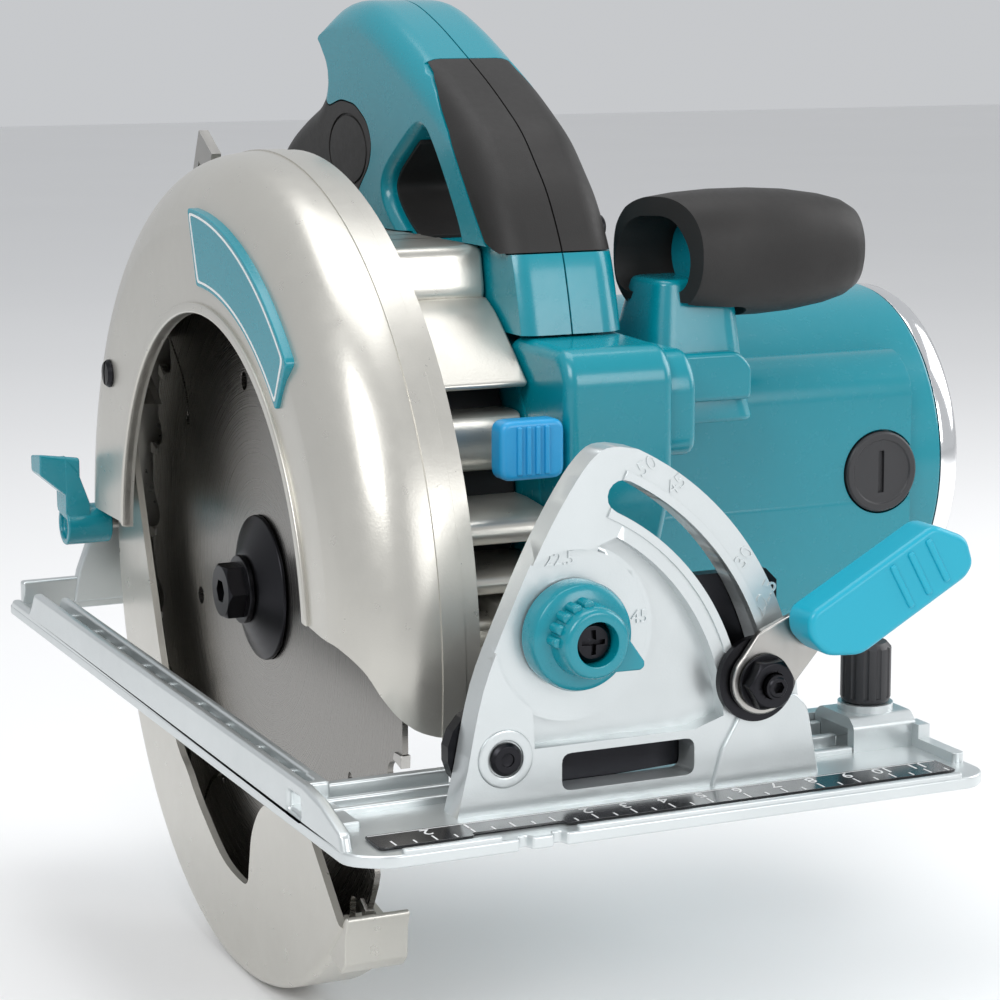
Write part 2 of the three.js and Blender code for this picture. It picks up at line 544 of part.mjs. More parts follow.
function lowerGuard() {
  const r = LOWER_R;
  const sector = (from, to, reach) => [[ARBOR_Y, ARBOR_Z], ...arc(ARBOR_Y, ARBOR_Z, reach, from, to, 14)];
  const shell = join(
    ring('x', ARBOR, r - 2, r, LOWER_LEFT, LOWER_RIGHT, 84),
    ring('x', ARBOR, 50, r - 1, LOWER_LEFT, LOWER_LEFT + 2, 84),
    ring('x', ARBOR, HUB_RADIUS + GAP, r - 1, LOWER_RIGHT - 2, LOWER_RIGHT, 84),
  );
  const crescent = [
    ...arc(ARBOR_Y, ARBOR_Z, r - 35, 30, -48, 10), ...arc(ARBOR_Y - 4, ARBOR_Z - 2, r - 27, -60, -97, 8),
    [ARBOR_Y - 10, ARBOR_Z - 62], [ARBOR_Y - 22, ARBOR_Z - 46], [ARBOR_Y - 40, ARBOR_Z - 20], [ARBOR_Y, ARBOR_Z + 60]];
  const upperPart = sector(34, 228, r + 60);
  const hub = rod('x', ARBOR, HUB_RADIUS + 8, LOWER_RIGHT - 2, LOWER_RIGHT, 36);
  const arm = prismX([[ARBOR_Y - 30, ARBOR_Z], [ARBOR_Y + 30, ARBOR_Z], [ARBOR_Y + 50, ARBOR_Z - 60],
    [ARBOR_Y - 50, ARBOR_Z - 60]], LOWER_RIGHT - 2, LOWER_RIGHT);
  const mouth = radians(-132);
  const tip = (radius, shift) => [ARBOR_Y + radius * Math.cos(mouth + radians(shift)),
    ARBOR_Z + radius * Math.sin(mouth + radians(shift))];
  const tab = [tip(r - 3, 0), tip(r - 3, 5), tip(r + 6, 3), tip(r + 6, 1)];
  return cut(
    join(
      cut(shell, prismX(upperPart, LOWER_LEFT - 1, LOWER_RIGHT + 1), prismX(crescent, LOWER_LEFT - 1, LOWER_LEFT + 3)),
      cut(join(hub, arm), rod('x', ARBOR, HUB_RADIUS + GAP, 0, LOWER_RIGHT + 2, 36)),
      prismX(tab, LOWER_LEFT, LOWER_RIGHT),
    ),
    rod('x', ARBOR, HUB_RADIUS + GAP, LOWER_RIGHT - 3, LOWER_RIGHT + 1, 36),
  );
}

add('lower_guard', lowerGuard(), CAST_WARM(), ARBOR);

// ---------------------------------------------------------------- blade and spindle

function blade() {
  const pitch = 360 / BLADE_TEETH;
  const at = (radius, degrees) => [
    ARBOR_Y + radius * Math.cos(radians(degrees)), ARBOR_Z + radius * Math.sin(radians(degrees))];
  const root = BLADE_RADIUS - TOOTH_DEPTH;
  const outline = [];
  for (let i = 0; i < BLADE_TEETH; i += 1) {
    const a = i * pitch;
    outline.push(at(BLADE_RADIUS, a), at(root + 2, a + 0.4), at(root, a + 2), at(root + 1.5, a + 4.2),
      at(BLADE_RADIUS - 3.2, a + 6.5), at(BLADE_RADIUS - 0.6, a + pitch - 1.6));
  }
  const slots = [0, 1, 2, 3].map((i) => {
    const a = 90 * i + 2;
    return prismX([at(root + 2, a - 0.35), at(root - 13, a - 0.5), at(root - 20, a - 4), at(root - 21, a - 3.6),
      at(root - 13.4, a + 0.6), at(root + 2, a + 0.35)], -2, 2);
  });
  const plate = prismX(outline, -BLADE_THICKNESS / 2, BLADE_THICKNESS / 2);
  return cut(plate, ...slots, rod('x', ARBOR, 15, -3, 3, 32));
}

const HALF_BLADE = BLADE_THICKNESS / 2;
add('saw_blade', blade(), STEEL(), ARBOR);

add('inner_flange', turned('x', ARBOR, [
  [SPINDLE_RADIUS + GAP, -HALF_BLADE + 0.2], [15 - GAP, -HALF_BLADE + 0.2], [15 - GAP, HALF_BLADE + GAP],
  [FLANGE_RADIUS, HALF_BLADE + GAP], [FLANGE_RADIUS, HALF_BLADE + 3.4], [SPINDLE_RADIUS + GAP, HALF_BLADE + 3.4],
  [SPINDLE_RADIUS + GAP, -HALF_BLADE + 0.2],
], 32), DARK_STEEL(), ARBOR);

add('outer_flange', turned('x', ARBOR, [
  [BOLT_RADIUS + GAP, -6.2], [10.5, -6.2], [FLANGE_RADIUS - 1.5, -2.6], [FLANGE_RADIUS, -2.2],
  [FLANGE_RADIUS, -HALF_BLADE - GAP], [BOLT_RADIUS + GAP, -HALF_BLADE - GAP], [BOLT_RADIUS + GAP, -6.2],
], 32), DARK_STEEL(), ARBOR);

add('blade_bolt', join(
  prismX(hexagon(ARBOR_Y, ARBOR_Z, 8), -13.5, -8, 0.8),
  rod('x', ARBOR, 9.5, -8.2, -6.2 - GAP, 28),
  rod('x', ARBOR, BOLT_RADIUS, -7, 12, 16),
), DARK_STEEL(), ARBOR);

const SPINDLE_END = 41;
add('spindle', turned('x', ARBOR, [
  [BOLT_RADIUS + GAP, -0.5], [SPINDLE_RADIUS, -0.5], [SPINDLE_RADIUS, SPINDLE_END], [0, SPINDLE_END], [0, 14],
  [BOLT_RADIUS + GAP, 14], [BOLT_RADIUS + GAP, -0.5],
]), STEEL(), ARBOR);

// Spur gears with slim teeth, so that the pair runs with backlash.
const MODULE = 2 * GEAR_DISTANCE / (PINION_TEETH + GEAR_TEETH);
const ADDENDUM = 0.65 * MODULE;
const GEAR_TIP = MODULE * GEAR_TEETH / 2 + ADDENDUM;

function gear([, y, z], teeth, bore, phase) {
  const pitchRadius = MODULE * teeth / 2;
  const step = 360 / teeth;
  const outline = [];
  for (let i = 0; i < teeth; i += 1) {
    const root = -1.15 * MODULE;
    const tooth = [[-0.25, root], [-0.1, ADDENDUM], [0.1, ADDENDUM], [0.25, root]];
    tooth.forEach(([turn, height]) => {
      const angle = radians(phase + (i + turn) * step);
      const radius = pitchRadius + height;
      outline.push([y + radius * Math.cos(angle), z + radius * Math.sin(angle)]);
    });
  }
  const wheel = prismX(outline, GEAR_LEFT, GEAR_RIGHT);
  return bore > 0 ? cut(wheel, rod('x', [0, y, z], bore, GEAR_LEFT - 1, GEAR_RIGHT + 1)) : wheel;
}

add('drive_gear', gear(ARBOR, GEAR_TEETH, SPINDLE_RADIUS + GAP, 90), STEEL(), ARBOR);
const pinionPhase = -90 + 180 / PINION_TEETH;

// ---------------------------------------------------------------- motor shaft, armature and fan

add('armature_shaft', join(
  rod('x', MOTOR, SHAFT_RADIUS, GEAR_RIGHT + 1.2, 188),
  rod('x', MOTOR, 3, GEAR_LEFT, GEAR_RIGHT + 2, 16),
  gear(MOTOR, PINION_TEETH, 0, pinionPhase),
), STEEL(), MOTOR);

const CORE_LEFT = 84;
const CORE_RIGHT = 138;
const CORE_RADIUS = 26;
add('armature_core', ring('x', MOTOR, SHAFT_RADIUS + GAP, CORE_RADIUS, CORE_LEFT, CORE_RIGHT, 32), COPPER(), MOTOR);

const BRUSH_X = 168;
const COMMUTATOR_RADIUS = 14;
add('commutator', ring('x', MOTOR, SHAFT_RADIUS + GAP, COMMUTATOR_RADIUS, BRUSH_X - 8, BRUSH_X + 8, 32), COPPER(),
  MOTOR);

function coolingFan() {
  const blades = Array.from({ length: 12 }, (_, i) => {
    const a = i * 30;
    const at = (radius, shift) => [
      ARBOR_Y + radius * Math.cos(radians(a + shift)), MOTOR_Z + radius * Math.sin(radians(a + shift))];
    return prismX([at(14, 0), at(37, -8), at(37, -5.5), at(14, 7)], 52, 63);
  });
  const disc = ring('x', MOTOR, SHAFT_RADIUS + GAP, 38, 61, 63, 36);
  return join(disc, ring('x', MOTOR, SHAFT_RADIUS + GAP, 15, 52, 63, 24), ...blades);
}
add('cooling_fan', coolingFan(), BLACK_PLASTIC(), MOTOR);

// ---------------------------------------------------------------- bearings and their seats

const bearing = (centre, inner, outer, from, to) => ring('x', centre, inner + GAP, outer, from, to, 28);
add('spindle_bearing', bearing(ARBOR, SPINDLE_RADIUS, 16, 12.7, 21.5), STEEL(), ARBOR);
add('spindle_needle_bearing', bearing(ARBOR, SPINDLE_RADIUS, 10.5, 36, 40.6), STEEL(), ARBOR);
add('armature_front_bearing', bearing(MOTOR, SHAFT_RADIUS, 13.5, 37, 44), STEEL(), MOTOR);
add('armature_rear_bearing', bearing(MOTOR, SHAFT_RADIUS, 11, 180, 187), STEEL(), MOTOR);

add('bearing_retainer', turned('x', ARBOR, [
  [SPINDLE_RADIUS + 2, 5.4], [HUB_RADIUS, 5.4], [HUB_RADIUS, GUARD_RIGHT - GUARD_WALL],
  [30 - GAP, GUARD_RIGHT - GUARD_WALL], [30 - GAP, GUARD_RIGHT - 0.1], [SPINDLE_RADIUS + 2, GUARD_RIGHT - 0.1],
  [SPINDLE_RADIUS + 2, 5.4],
], 36), CAST_SILVER(), ARBOR);

const BRACKET_LEFT = 35.4;
function bearingBracket() {
  const outline = [
    ...arc(ARBOR_Y, ARBOR_Z, 17, 180, 360, 14), ...arc(ARBOR_Y, MOTOR_Z, 19, 0, 180, 14)];
  return cut(
    join(prismX(outline, BRACKET_LEFT, HOUSING_RIGHT), rod('x', MOTOR, 19, BRACKET_LEFT, 45, 28)),
    rod('x', ARBOR, 10.5 + GAP, BRACKET_LEFT - 1, 41, 28),
    rod('x', MOTOR, 13.5 + GAP, BRACKET_LEFT - 1, 44.4, 28),
    rod('x', MOTOR, SHAFT_RADIUS + 1.5, BRACKET_LEFT - 1, 46),
  );
}
add('bearing_bracket', bearingBracket(), CAST_SILVER());
add('air_baffle', ring('x', MOTOR, 24, MOTOR_RADIUS - MOTOR_WALL - 1, 66, 68, 36), BLACK_PLASTIC(), MOTOR);

function guardSpring() {
  const turns = 2.5;
  const points = Array.from({ length: 61 }, (_, i) => {
    const angle = turns * 2 * Math.PI * i / 60;
    const radius = HUB_RADIUS + 1.2 + 5.5 * i / 60;
    return new THREE.Vector3(LOWER_RIGHT + 0.75, radius * Math.cos(angle), radius * Math.sin(angle));
  });
  const section = new THREE.Shape(arc(0, 0, 0.35, 0, 270, 3).map(([u, v]) => new THREE.Vector2(u, v)));
  const path = new THREE.CatmullRomCurve3(points);
  return solid(new THREE.ExtrudeGeometry(section, { steps: 60, extrudePath: path, bevelEnabled: false })
    .translate(0, ARBOR_Y, ARBOR_Z));
}
add('guard_return_spring', guardSpring(), STEEL(), ARBOR);

// ---------------------------------------------------------------- gear housing


const housingOutline = [
  fromArbor(-94, -4), [ARBOR_Y - 102, 40], [ARBOR_Y - 102, 62], [ARBOR_Y - 88, 88], [ARBOR_Y - 86, 93],
  [ARBOR_Y - 70, 106], [ARBOR_Y - 59, 114], [ARBOR_Y - 56, HOUSING_TOP], [ARBOR_Y + 52, HOUSING_TOP],
  [ARBOR_Y + 60, 112], [ARBOR_Y + 60, 62], [ARBOR_Y + 44, 16], [ARBOR_Y + 30, 8], [ARBOR_Y + 18, 1],
  [ARBOR_Y - 18, 1], [ARBOR_Y - 30, 8], [ARBOR_Y - 44, 15], [ARBOR_Y - 80, 18],
];

function insetOutline(outline, amount) {
  const centre = outline.reduce(([y, z], [u, v]) => [y + u / outline.length, z + v / outline.length], [0, 0]);
  return outline.map(([y, z]) => {
    const reach = Math.hypot(y - centre[0], z - centre[1]);
    const scale = 1 - amount / reach;
    return [centre[0] + (y - centre[0]) * scale, centre[1] + (z - centre[1]) * scale];
  });
}

function gearHousing() {
  const arm = [
    [ARBOR_Y - 84, DEPTH_Z - 9], [ARBOR_Y - 84, DEPTH_Z + 12], ...arc(DEPTH_Y, DEPTH_Z, 8.5, 80, 280, 12)];
  const boss = [
    ...arc(ARBOR_Y, ARBOR_Z, 20, 180, 360, 16), ...arc(ARBOR_Y, ARBOR_Z, 20, 0, 180, 16)];
  const vents = [[86, 92.5], [65, 70], [52, 56], [38, 42]].map(([low, high]) =>
    box(HOUSING_LEFT - 1, HOUSING_RIGHT + 1, ARBOR_Y - 120, ARBOR_Y - 84, low, high));
  const lockHole = box(30 - GAP, 36 + GAP, ARBOR_Y - 110, ARBOR_Y - 70, 76 - GAP, 82 + GAP);
  return cut(
    join(
      cut(
        join(prismX(housingOutline, HOUSING_LEFT, HOUSING_RIGHT),
          rod('x', ARBOR, GEAR_TIP + 3.3, HOUSING_LEFT, HOUSING_RIGHT, 36)),
        prismX(insetOutline(housingOutline, 5), HOUSING_LEFT + 3, HOUSING_RIGHT + 1),
        rod('x', ARBOR, GEAR_TIP + 0.8, GEAR_LEFT - 1, HOUSING_RIGHT + 1, 36),
        ...vents,
      ),
      prismX(boss, HOUSING_LEFT, 22),
      cut(prismX(arm, ARM_LEFT, ARM_RIGHT), box(ARM_LEFT - 1, ARM_RIGHT + 1, ARBOR_Y - 92, ARBOR_Y, 0, 70)),
    ),
    lockHole,
    rod('x', ARBOR, 16 + GAP, HOUSING_LEFT - 1, 24, 28),
    rod('x', [0, DEPTH_Y, DEPTH_Z], PIVOT_RADIUS + GAP, ARM_LEFT - 1, ARM_RIGHT + 1),
  );
}
add('gear_housing', gearHousing(), CAST_WARM());

// ---------------------------------------------------------------- motor housing

const NECK_LEFT = CASE_SEAM + GAP;
const NECK_TOP = 104;
const BLOCK_FRONT = ARBOR_Y - 106;

const neckOutline = [
  [BLOCK_FRONT + 8, 44], [BLOCK_FRONT, 70], [BLOCK_FRONT, 98], [BLOCK_FRONT + 4, 102], [BLOCK_FRONT + 26, NECK_TOP],
  [ARBOR_Y + 50, NECK_TOP], [ARBOR_Y + 58, 96], [ARBOR_Y + 58, 62], [ARBOR_Y + 44, 20], [ARBOR_Y + 26, 10],
  [ARBOR_Y - 26, 10], [ARBOR_Y - 50, 24],
];

function motorHousing() {
  const barrel = turned('x', MOTOR, [
    [0, NECK_LEFT + 20], [MOTOR_RADIUS - 0.5, NECK_LEFT + 20], [MOTOR_RADIUS, 120], [MOTOR_RADIUS, MOTOR_END],
    [0, MOTOR_END]], 48);
  const panel = prismX([
    [ARBOR_Y - MOTOR_RADIUS - 2.5, 36], [ARBOR_Y - MOTOR_RADIUS - 2.5, 82], [ARBOR_Y - 36, 92], [ARBOR_Y - 20, 60],
    [ARBOR_Y - 30, 26]], NECK_RIGHT - 4, BRUSH_X + 14, 2);
  const neck = prismX(neckOutline, NECK_LEFT, NECK_RIGHT, 1.5);
  const stem = prismZ(rectangle(GRIP_LEFT + 1, GRIP_LEFT + 28, GRIP_Y - 11, ARBOR_Y - 20), 78, GRIP_Z - 8, 2);
  const gripCore = rod('x', [0, GRIP_Y, GRIP_Z], GRIP_RADIUS - 5, GRIP_LEFT + 4, GRIP_RIGHT - 22, 24);
  const inside = MOTOR_RADIUS - MOTOR_WALL;
  const brush = (side) => join(
    rod('y', [BRUSH_X, ARBOR_Y, MOTOR_Z], 8 + GAP, side * 48 - 18, side * 48 + 18),
    rod('y', [BRUSH_X, ARBOR_Y, MOTOR_Z], 11.6 + GAP, side * 56 - 6 - GAP, side * 56 + 6 + GAP, 32));
  return cut(
    join(neck, panel, stem, gripCore, barrel),
    rod('x', MOTOR, inside, NECK_LEFT + 18, MOTOR_END + 1, 48),
    prismX(insetOutline(neckOutline, 6), NECK_LEFT - 1, NECK_LEFT + 22),
    brush(-1),
    brush(1),
  );
}
add('motor_housing', motorHousing(), TEAL());

add('end_cap', join(
  turned('x', MOTOR, [[0, MOTOR_END + GAP], [MOTOR_RADIUS - 0.4, MOTOR_END + GAP], [MOTOR_RADIUS - 0.6, CAP_END - 3],
    [MOTOR_RADIUS - 3.5, CAP_END], [0, CAP_END]], 48),
  ring('x', MOTOR, 11 + GAP, 14, 179, MOTOR_END + 2, 28),
), POLISHED(), MOTOR);

add('stator', ring('x', MOTOR, CORE_RADIUS + 2, MOTOR_RADIUS - MOTOR_WALL - GAP, CORE_LEFT - 4, CORE_RIGHT + 4, 36),
  DARK_STEEL(), MOTOR);

for (const [name, side] of [['front', -1], ['rear', 1]]) {
  const face = side * (MOTOR_RADIUS + 3.4);
  const seat = side * 50;
  const inner = side * (COMMUTATOR_RADIUS + 22);
  const at = [BRUSH_X, ARBOR_Y, MOTOR_Z];
  const cap = cut(
    join(
      rod('y', at, 11.6, Math.min(face, seat), Math.max(face, seat), 28),
      rod('y', at, 8, Math.min(seat, inner), Math.max(seat, inner), 20),
    ),
    box(BRUSH_X - 1, BRUSH_X + 1, ARBOR_Y + face - 1.2, ARBOR_Y + face + 1.2, MOTOR_Z - 6, MOTOR_Z + 6),
  );
  add(`brush_cap_${name}`, cap, BLACK_PLASTIC(), at);
  const near = side * (COMMUTATOR_RADIUS + 0.5);
  const far = side * (COMMUTATOR_RADIUS + 21.5);
  add(`carbon_brush_${name}`, box(BRUSH_X - 5, BRUSH_X + 5, ARBOR_Y + Math.min(near, far),
    ARBOR_Y + Math.max(near, far), MOTOR_Z - 3, MOTOR_Z + 3), CARBON());
}

// ---------------------------------------------------------------- main handle

const LOOP = [
  [ARBOR_Y - 48, 125], [ARBOR_Y - 44.5, 131], [ARBOR_Y - 27.5, 151.5], [ARBOR_Y - 22, 155], [ARBOR_Y - 16, 154],
  [ARBOR_Y + 3, 143], [ARBOR_Y + 6, 137], [ARBOR_Y - 1, 130], [ARBOR_Y - 18, 122.5], [ARBOR_Y - 36, 120],
];
const handleOutline = [
  [ARBOR_Y - 81, NECK_TOP + GAP], [ARBOR_Y - 78, 116],
  ...smooth([
    [ARBOR_Y - 74.5, 126], [ARBOR_Y - 66, 139], [ARBOR_Y - 50.5, 154.5], [ARBOR_Y - 28, 167.5], [ARBOR_Y - 12, 175],
    [ARBOR_Y + 5, 182.5], [ARBOR_Y + 22, 188], [ARBOR_Y + 40, 189], [ARBOR_Y + 54, 184], [ARBOR_Y + 58, 176],
    [ARBOR_Y + 56, 168], [ARBOR_Y + 62, 160], [ARBOR_Y + 78, 152], [ARBOR_Y + 96, 140], [ARBOR_Y + 108, 126]], 30),
  [ARBOR_Y + 108, 116], [ARBOR_Y + 98, NECK_TOP + GAP],
];
const underHousing = box(0, NECK_LEFT, 0, ARBOR_Y + 200, 0, HOUSING_TOP + GAP);

const handleBody = (inset) => cut(
  prismX(handleOutline, HANDLE_LEFT + inset, HANDLE_RIGHT - inset, HANDLE_ROUND - inset, inset, 3),
  prismX(LOOP, HANDLE_LEFT - 1, HANDLE_RIGHT + 1),
  underHousing,
);

// The rubber covers the front and top of the grip; the pads cover the sides of the rear post.
const gripZone = [
  [ARBOR_Y - 100, 128], [ARBOR_Y - 68, 125], [ARBOR_Y - 62, 127], [ARBOR_Y - 48, 143], [ARBOR_Y - 30, 158],
  [ARBOR_Y - 16, 166], [ARBOR_Y - 12, 172], [ARBOR_Y - 16, 195], [ARBOR_Y - 100, 195],
];
const padZone = [
  ...arc(ARBOR_Y + 46, 150, 14, 20, 170, 10), [ARBOR_Y + 34, 132], [ARBOR_Y + 44, 126], [ARBOR_Y + 66, 126],
  [ARBOR_Y + 70, 140]];

// Trigger frame: along the front edge of the loop, and square to it into the grip.
const EDGE_A = [ARBOR_Y - 44.5, 131];
const EDGE_B = [ARBOR_Y - 27.5, 151.5];
const edgeLength = Math.hypot(EDGE_B[0] - EDGE_A[0], EDGE_B[1] - EDGE_A[1]);
const alongEdge = [(EDGE_B[0] - EDGE_A[0]) / edgeLength, (EDGE_B[1] - EDGE_A[1]) / edgeLength];
const intoGrip = [-alongEdge[1], alongEdge[0]];
const edgePoint = (along, into) => [
  EDGE_A[0] + along * alongEdge[0] + into * intoGrip[0], EDGE_A[1] + along * alongEdge[1] + into * intoGrip[1]];

const TRIGGER_HALF = 6;
const pocket = prismX([
  edgePoint(0.5, -6), edgePoint(edgeLength, -6), edgePoint(edgeLength, 8), edgePoint(18, 8), edgePoint(17, 15.5),
  edgePoint(0.5, 15.5)], HANDLE_CENTRE - TRIGGER_HALF - 0.5, HANDLE_CENTRE + TRIGGER_HALF + 0.5);
const wireWay = box(HANDLE_CENTRE - 6, HANDLE_CENTRE + 6, ARBOR_Y - 60, ARBOR_Y + 84, NECK_TOP - 1, NECK_TOP + 10);

function handleCore() {
  const rubberSpace = cut(prismX(gripZone, 0, 120), handleBody(RUBBER + GAP));
  const padDepth = join(
    prismX(padZone, HANDLE_LEFT - 1, HANDLE_LEFT + RUBBER), prismX(padZone, HANDLE_RIGHT - RUBBER, HANDLE_RIGHT + 1));
  return cut(handleBody(0), rubberSpace, padDepth, pocket, wireWay);
}

const CORD_Y = ARBOR_Y + 106;
const CORD_Z = 119;
const inletSeat = rod('y', [HANDLE_CENTRE, 0, CORD_Z], 8, CORD_Y - 12, CORD_Y + 20);
const leftHalf = box(-10, HANDLE_CENTRE - GAP / 2, -100, 500, 0, 400);
const rightHalf = box(HANDLE_CENTRE + GAP / 2, 200, -100, 500, 0, 400);
const handle = cut(handleCore(), inletSeat);
add('handle_left', handle.intersect(leftHalf), TEAL());
add('handle_right', handle.intersect(rightHalf), TEAL());

const overmould = cut(
  handleBody(0).intersect(prismX(gripZone.map(([y, z]) => [y - GAP, z + GAP]), 0, 120)), handleBody(RUBBER));
add('grip_rubber_left', overmould.intersect(leftHalf), RUBBER_GREY());
add('grip_rubber_right', overmould.intersect(rightHalf), RUBBER_GREY());

const pad = insetOutline(padZone, 1);
add('rear_pad_left', prismX(pad, HANDLE_LEFT, HANDLE_LEFT + RUBBER - GAP), RUBBER_GREY());
add('rear_pad_right', prismX(pad, HANDLE_RIGHT - RUBBER + GAP, HANDLE_RIGHT), RUBBER_GREY());

add('trigger', prismX([
  edgePoint(2, 4), edgePoint(2, -4), edgePoint(8, -7), edgePoint(edgeLength - 6, -8), edgePoint(edgeLength - 3, -5),
  edgePoint(edgeLength - 2, 4)], HANDLE_CENTRE - TRIGGER_HALF, HANDLE_CENTRE + TRIGGER_HALF, 1), BLACK_PLASTIC(),
[HANDLE_CENTRE, ...edgePoint(edgeLength - 4, 2)]);
add('power_switch', prismX([
  edgePoint(2, 9), edgePoint(16, 9), edgePoint(16, 15), edgePoint(2, 15)],
HANDLE_CENTRE - TRIGGER_HALF, HANDLE_CENTRE + TRIGGER_HALF), BLACK_PLASTIC());
add('cord_inlet', turned('y', [HANDLE_CENTRE, CORD_Y, CORD_Z], [
  [3.4, -11], [8 - GAP, -11], [8 - GAP, 0], [6.4, 3], [5.4, 12], [3.4, 12], [3.4, -11]]), BLACK_PLASTIC());

// ---------------------------------------------------------------- front grip, shaft lock, depth lever

add('front_grip_rubber', cut(
  turned('x', [0, GRIP_Y, GRIP_Z], [
    [0, GRIP_LEFT], [GRIP_RADIUS - 4, GRIP_LEFT], [GRIP_RADIUS - 1, GRIP_LEFT + 5], [GRIP_RADIUS, GRIP_LEFT + 26],
    [GRIP_RADIUS - 1.4, GRIP_RIGHT - 16], [GRIP_RADIUS - 6, GRIP_RIGHT - 2], [0, GRIP_RIGHT]], 32),
  rod('x', [0, GRIP_Y, GRIP_Z], GRIP_RADIUS - 5 + GAP, GRIP_LEFT - 1, GRIP_RIGHT - 21.5, 24),
  prismZ(rectangle(GRIP_LEFT + 1 - GAP, GRIP_LEFT + 28 + GAP, GRIP_Y - 11 - GAP, ARBOR_Y), 90, GRIP_Z - 7),
), RUBBER_GREY());

const LOCK_FRONT = ARBOR_Y - 108;
const shaftLock = join(
  prismY(rectangle(24, 41.4, 72, 87), LOCK_FRONT, LOCK_FRONT + 8, 1.5),
  box(30, 36, LOCK_FRONT + 6, ARBOR_Y - 90, 76, 82),
);
add('shaft_lock', shaftLock, BLUE());

const DEPTH_BOLT = [0, DEPTH_BOLT_Y, DEPTH_BOLT_Z];
add('depth_clamp_bolt', rod('x', DEPTH_BOLT, DEPTH_BOLT_RADIUS, -24.5, GUIDE_RIGHT + 6, 16), STEEL(), DEPTH_BOLT);
add('depth_clamp_nut', cut(prismX(hexagon(DEPTH_BOLT_Y, DEPTH_BOLT_Z, 5.8), GUIDE_RIGHT + GAP, GUIDE_RIGHT + 5, 0.4),
  rod('x', DEPTH_BOLT, DEPTH_BOLT_RADIUS + GAP, 10, 30, 16)), STEEL(), DEPTH_BOLT);

const DEPTH_LEVER_LEFT = -26.6;
const DEPTH_LEVER_RIGHT = LOWER_LEFT - 1;   // stops beside the lower guard; the bolt goes on past it

function depthLever() {
  const hub = join(
    rod('x', DEPTH_BOLT, 6.3, DEPTH_LEVER_LEFT + 0.6, -12.5, 24),
    box(-13.5, DEPTH_LEVER_RIGHT, DEPTH_BOLT_Y - 3.2, DEPTH_BOLT_Y + 5, DEPTH_BOLT_Z - 4.5, DEPTH_BOLT_Z + 4.5),
  );
  const arm = prismX([
    [DEPTH_BOLT_Y - 4.5, DEPTH_BOLT_Z + 3], [DEPTH_BOLT_Y + 6, DEPTH_BOLT_Z + 2], [DEPTH_BOLT_Y + 6, DEPTH_BOLT_Z + 24],
    [DEPTH_BOLT_Y - 5, DEPTH_BOLT_Z + 24]], DEPTH_LEVER_LEFT, DEPTH_LEVER_LEFT + 6, 1.5);
  return cut(join(hub, arm), rod('x', DEPTH_BOLT, DEPTH_BOLT_RADIUS + GAP, DEPTH_LEVER_LEFT + 1.6, 5, 16));
}
add('depth_lever', depthLever(), TEAL(), DEPTH_BOLT);

// ---------------------------------------------------------------- screws

const handleScrews = [[-62, 130], [92, 128]];
handleScrews.forEach(([dy, z], i) => {
  const at = [0, ARBOR_Y + dy, z];
  add(`handle_screw_${i + 1}`, rod('x', at, 3, HANDLE_RIGHT + GAP, HANDLE_RIGHT + 2, 14), DARK_STEEL());
});

export default saw;
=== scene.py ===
"""Looks for a corded circular saw: each operator makes one piece or group of like pieces on the CAD frame."""

import json
import math

import bmesh
import bpy
from mathutils import Matrix, Vector


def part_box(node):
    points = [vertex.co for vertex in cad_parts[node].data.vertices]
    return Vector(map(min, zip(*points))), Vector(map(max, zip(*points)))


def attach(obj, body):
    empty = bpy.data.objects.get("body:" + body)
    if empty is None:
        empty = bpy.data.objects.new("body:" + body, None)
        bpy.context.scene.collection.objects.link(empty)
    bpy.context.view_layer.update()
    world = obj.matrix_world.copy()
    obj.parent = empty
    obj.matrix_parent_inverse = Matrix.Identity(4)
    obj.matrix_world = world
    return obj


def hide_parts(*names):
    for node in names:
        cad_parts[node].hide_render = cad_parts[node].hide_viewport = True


bl_info = {
    "name": "Circular saw looks",
    "version": (1, 0, 0),
    "blender": (4, 5, 0),
    "location": "View3D > Sidebar > Saw",
    "description": "Builds the visible pieces and finishes of a circular saw around its CAD frame",
    "category": "Object",
}

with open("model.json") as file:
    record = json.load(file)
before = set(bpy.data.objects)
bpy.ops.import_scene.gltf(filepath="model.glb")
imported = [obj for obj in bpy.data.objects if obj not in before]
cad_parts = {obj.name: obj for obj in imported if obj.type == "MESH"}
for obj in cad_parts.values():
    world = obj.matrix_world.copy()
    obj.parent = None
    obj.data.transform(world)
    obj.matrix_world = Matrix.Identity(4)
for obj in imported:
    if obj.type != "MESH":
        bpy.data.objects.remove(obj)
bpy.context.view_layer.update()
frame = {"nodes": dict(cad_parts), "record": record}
MM = 0.001


def centre(node):
    """Middle of a CAD node's box, in millimetres."""
    low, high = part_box(node)
    return (low + high) / 2 / MM


def edge(node, side, axis):
    """One face of a CAD node's box, in millimetres; side 0 is the low one and 1 the high one."""
    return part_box(node)[side][axis] / MM


ARBOR = centre("saw_blade")
MOTOR = centre("armature_core")
AY, AZ = ARBOR.y, ARBOR.z
MY, MZ = MOTOR.y, MOTOR.z
BLADE_R = edge("saw_blade", 1, 1) - AY
GUARD_R = edge("upper_guard", 1, 2) - AZ
LOWER_GUARD_GAP = 5.5
LOWER_R = BLADE_R + LOWER_GUARD_GAP
SOLE_TOP = 3.0
BASE_LOW, BASE_HIGH = (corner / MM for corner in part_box("base_plate"))
BEVEL_X, BEVEL_Z = centre("front_bevel_pin").x, centre("front_bevel_pin").z
KNOB = centre("stopper_knob")
CLAMP = centre("bevel_clamp_washer")
DEPTH_BOLT = centre("depth_clamp_bolt")
HANDLE_X = (edge("handle_left", 0, 0) + edge("handle_right", 1, 0)) / 2
HALF_HANDLE = (edge("handle_right", 1, 0) - edge("handle_left", 0, 0)) / 2
SEAM_X = edge("motor_housing", 0, 0)
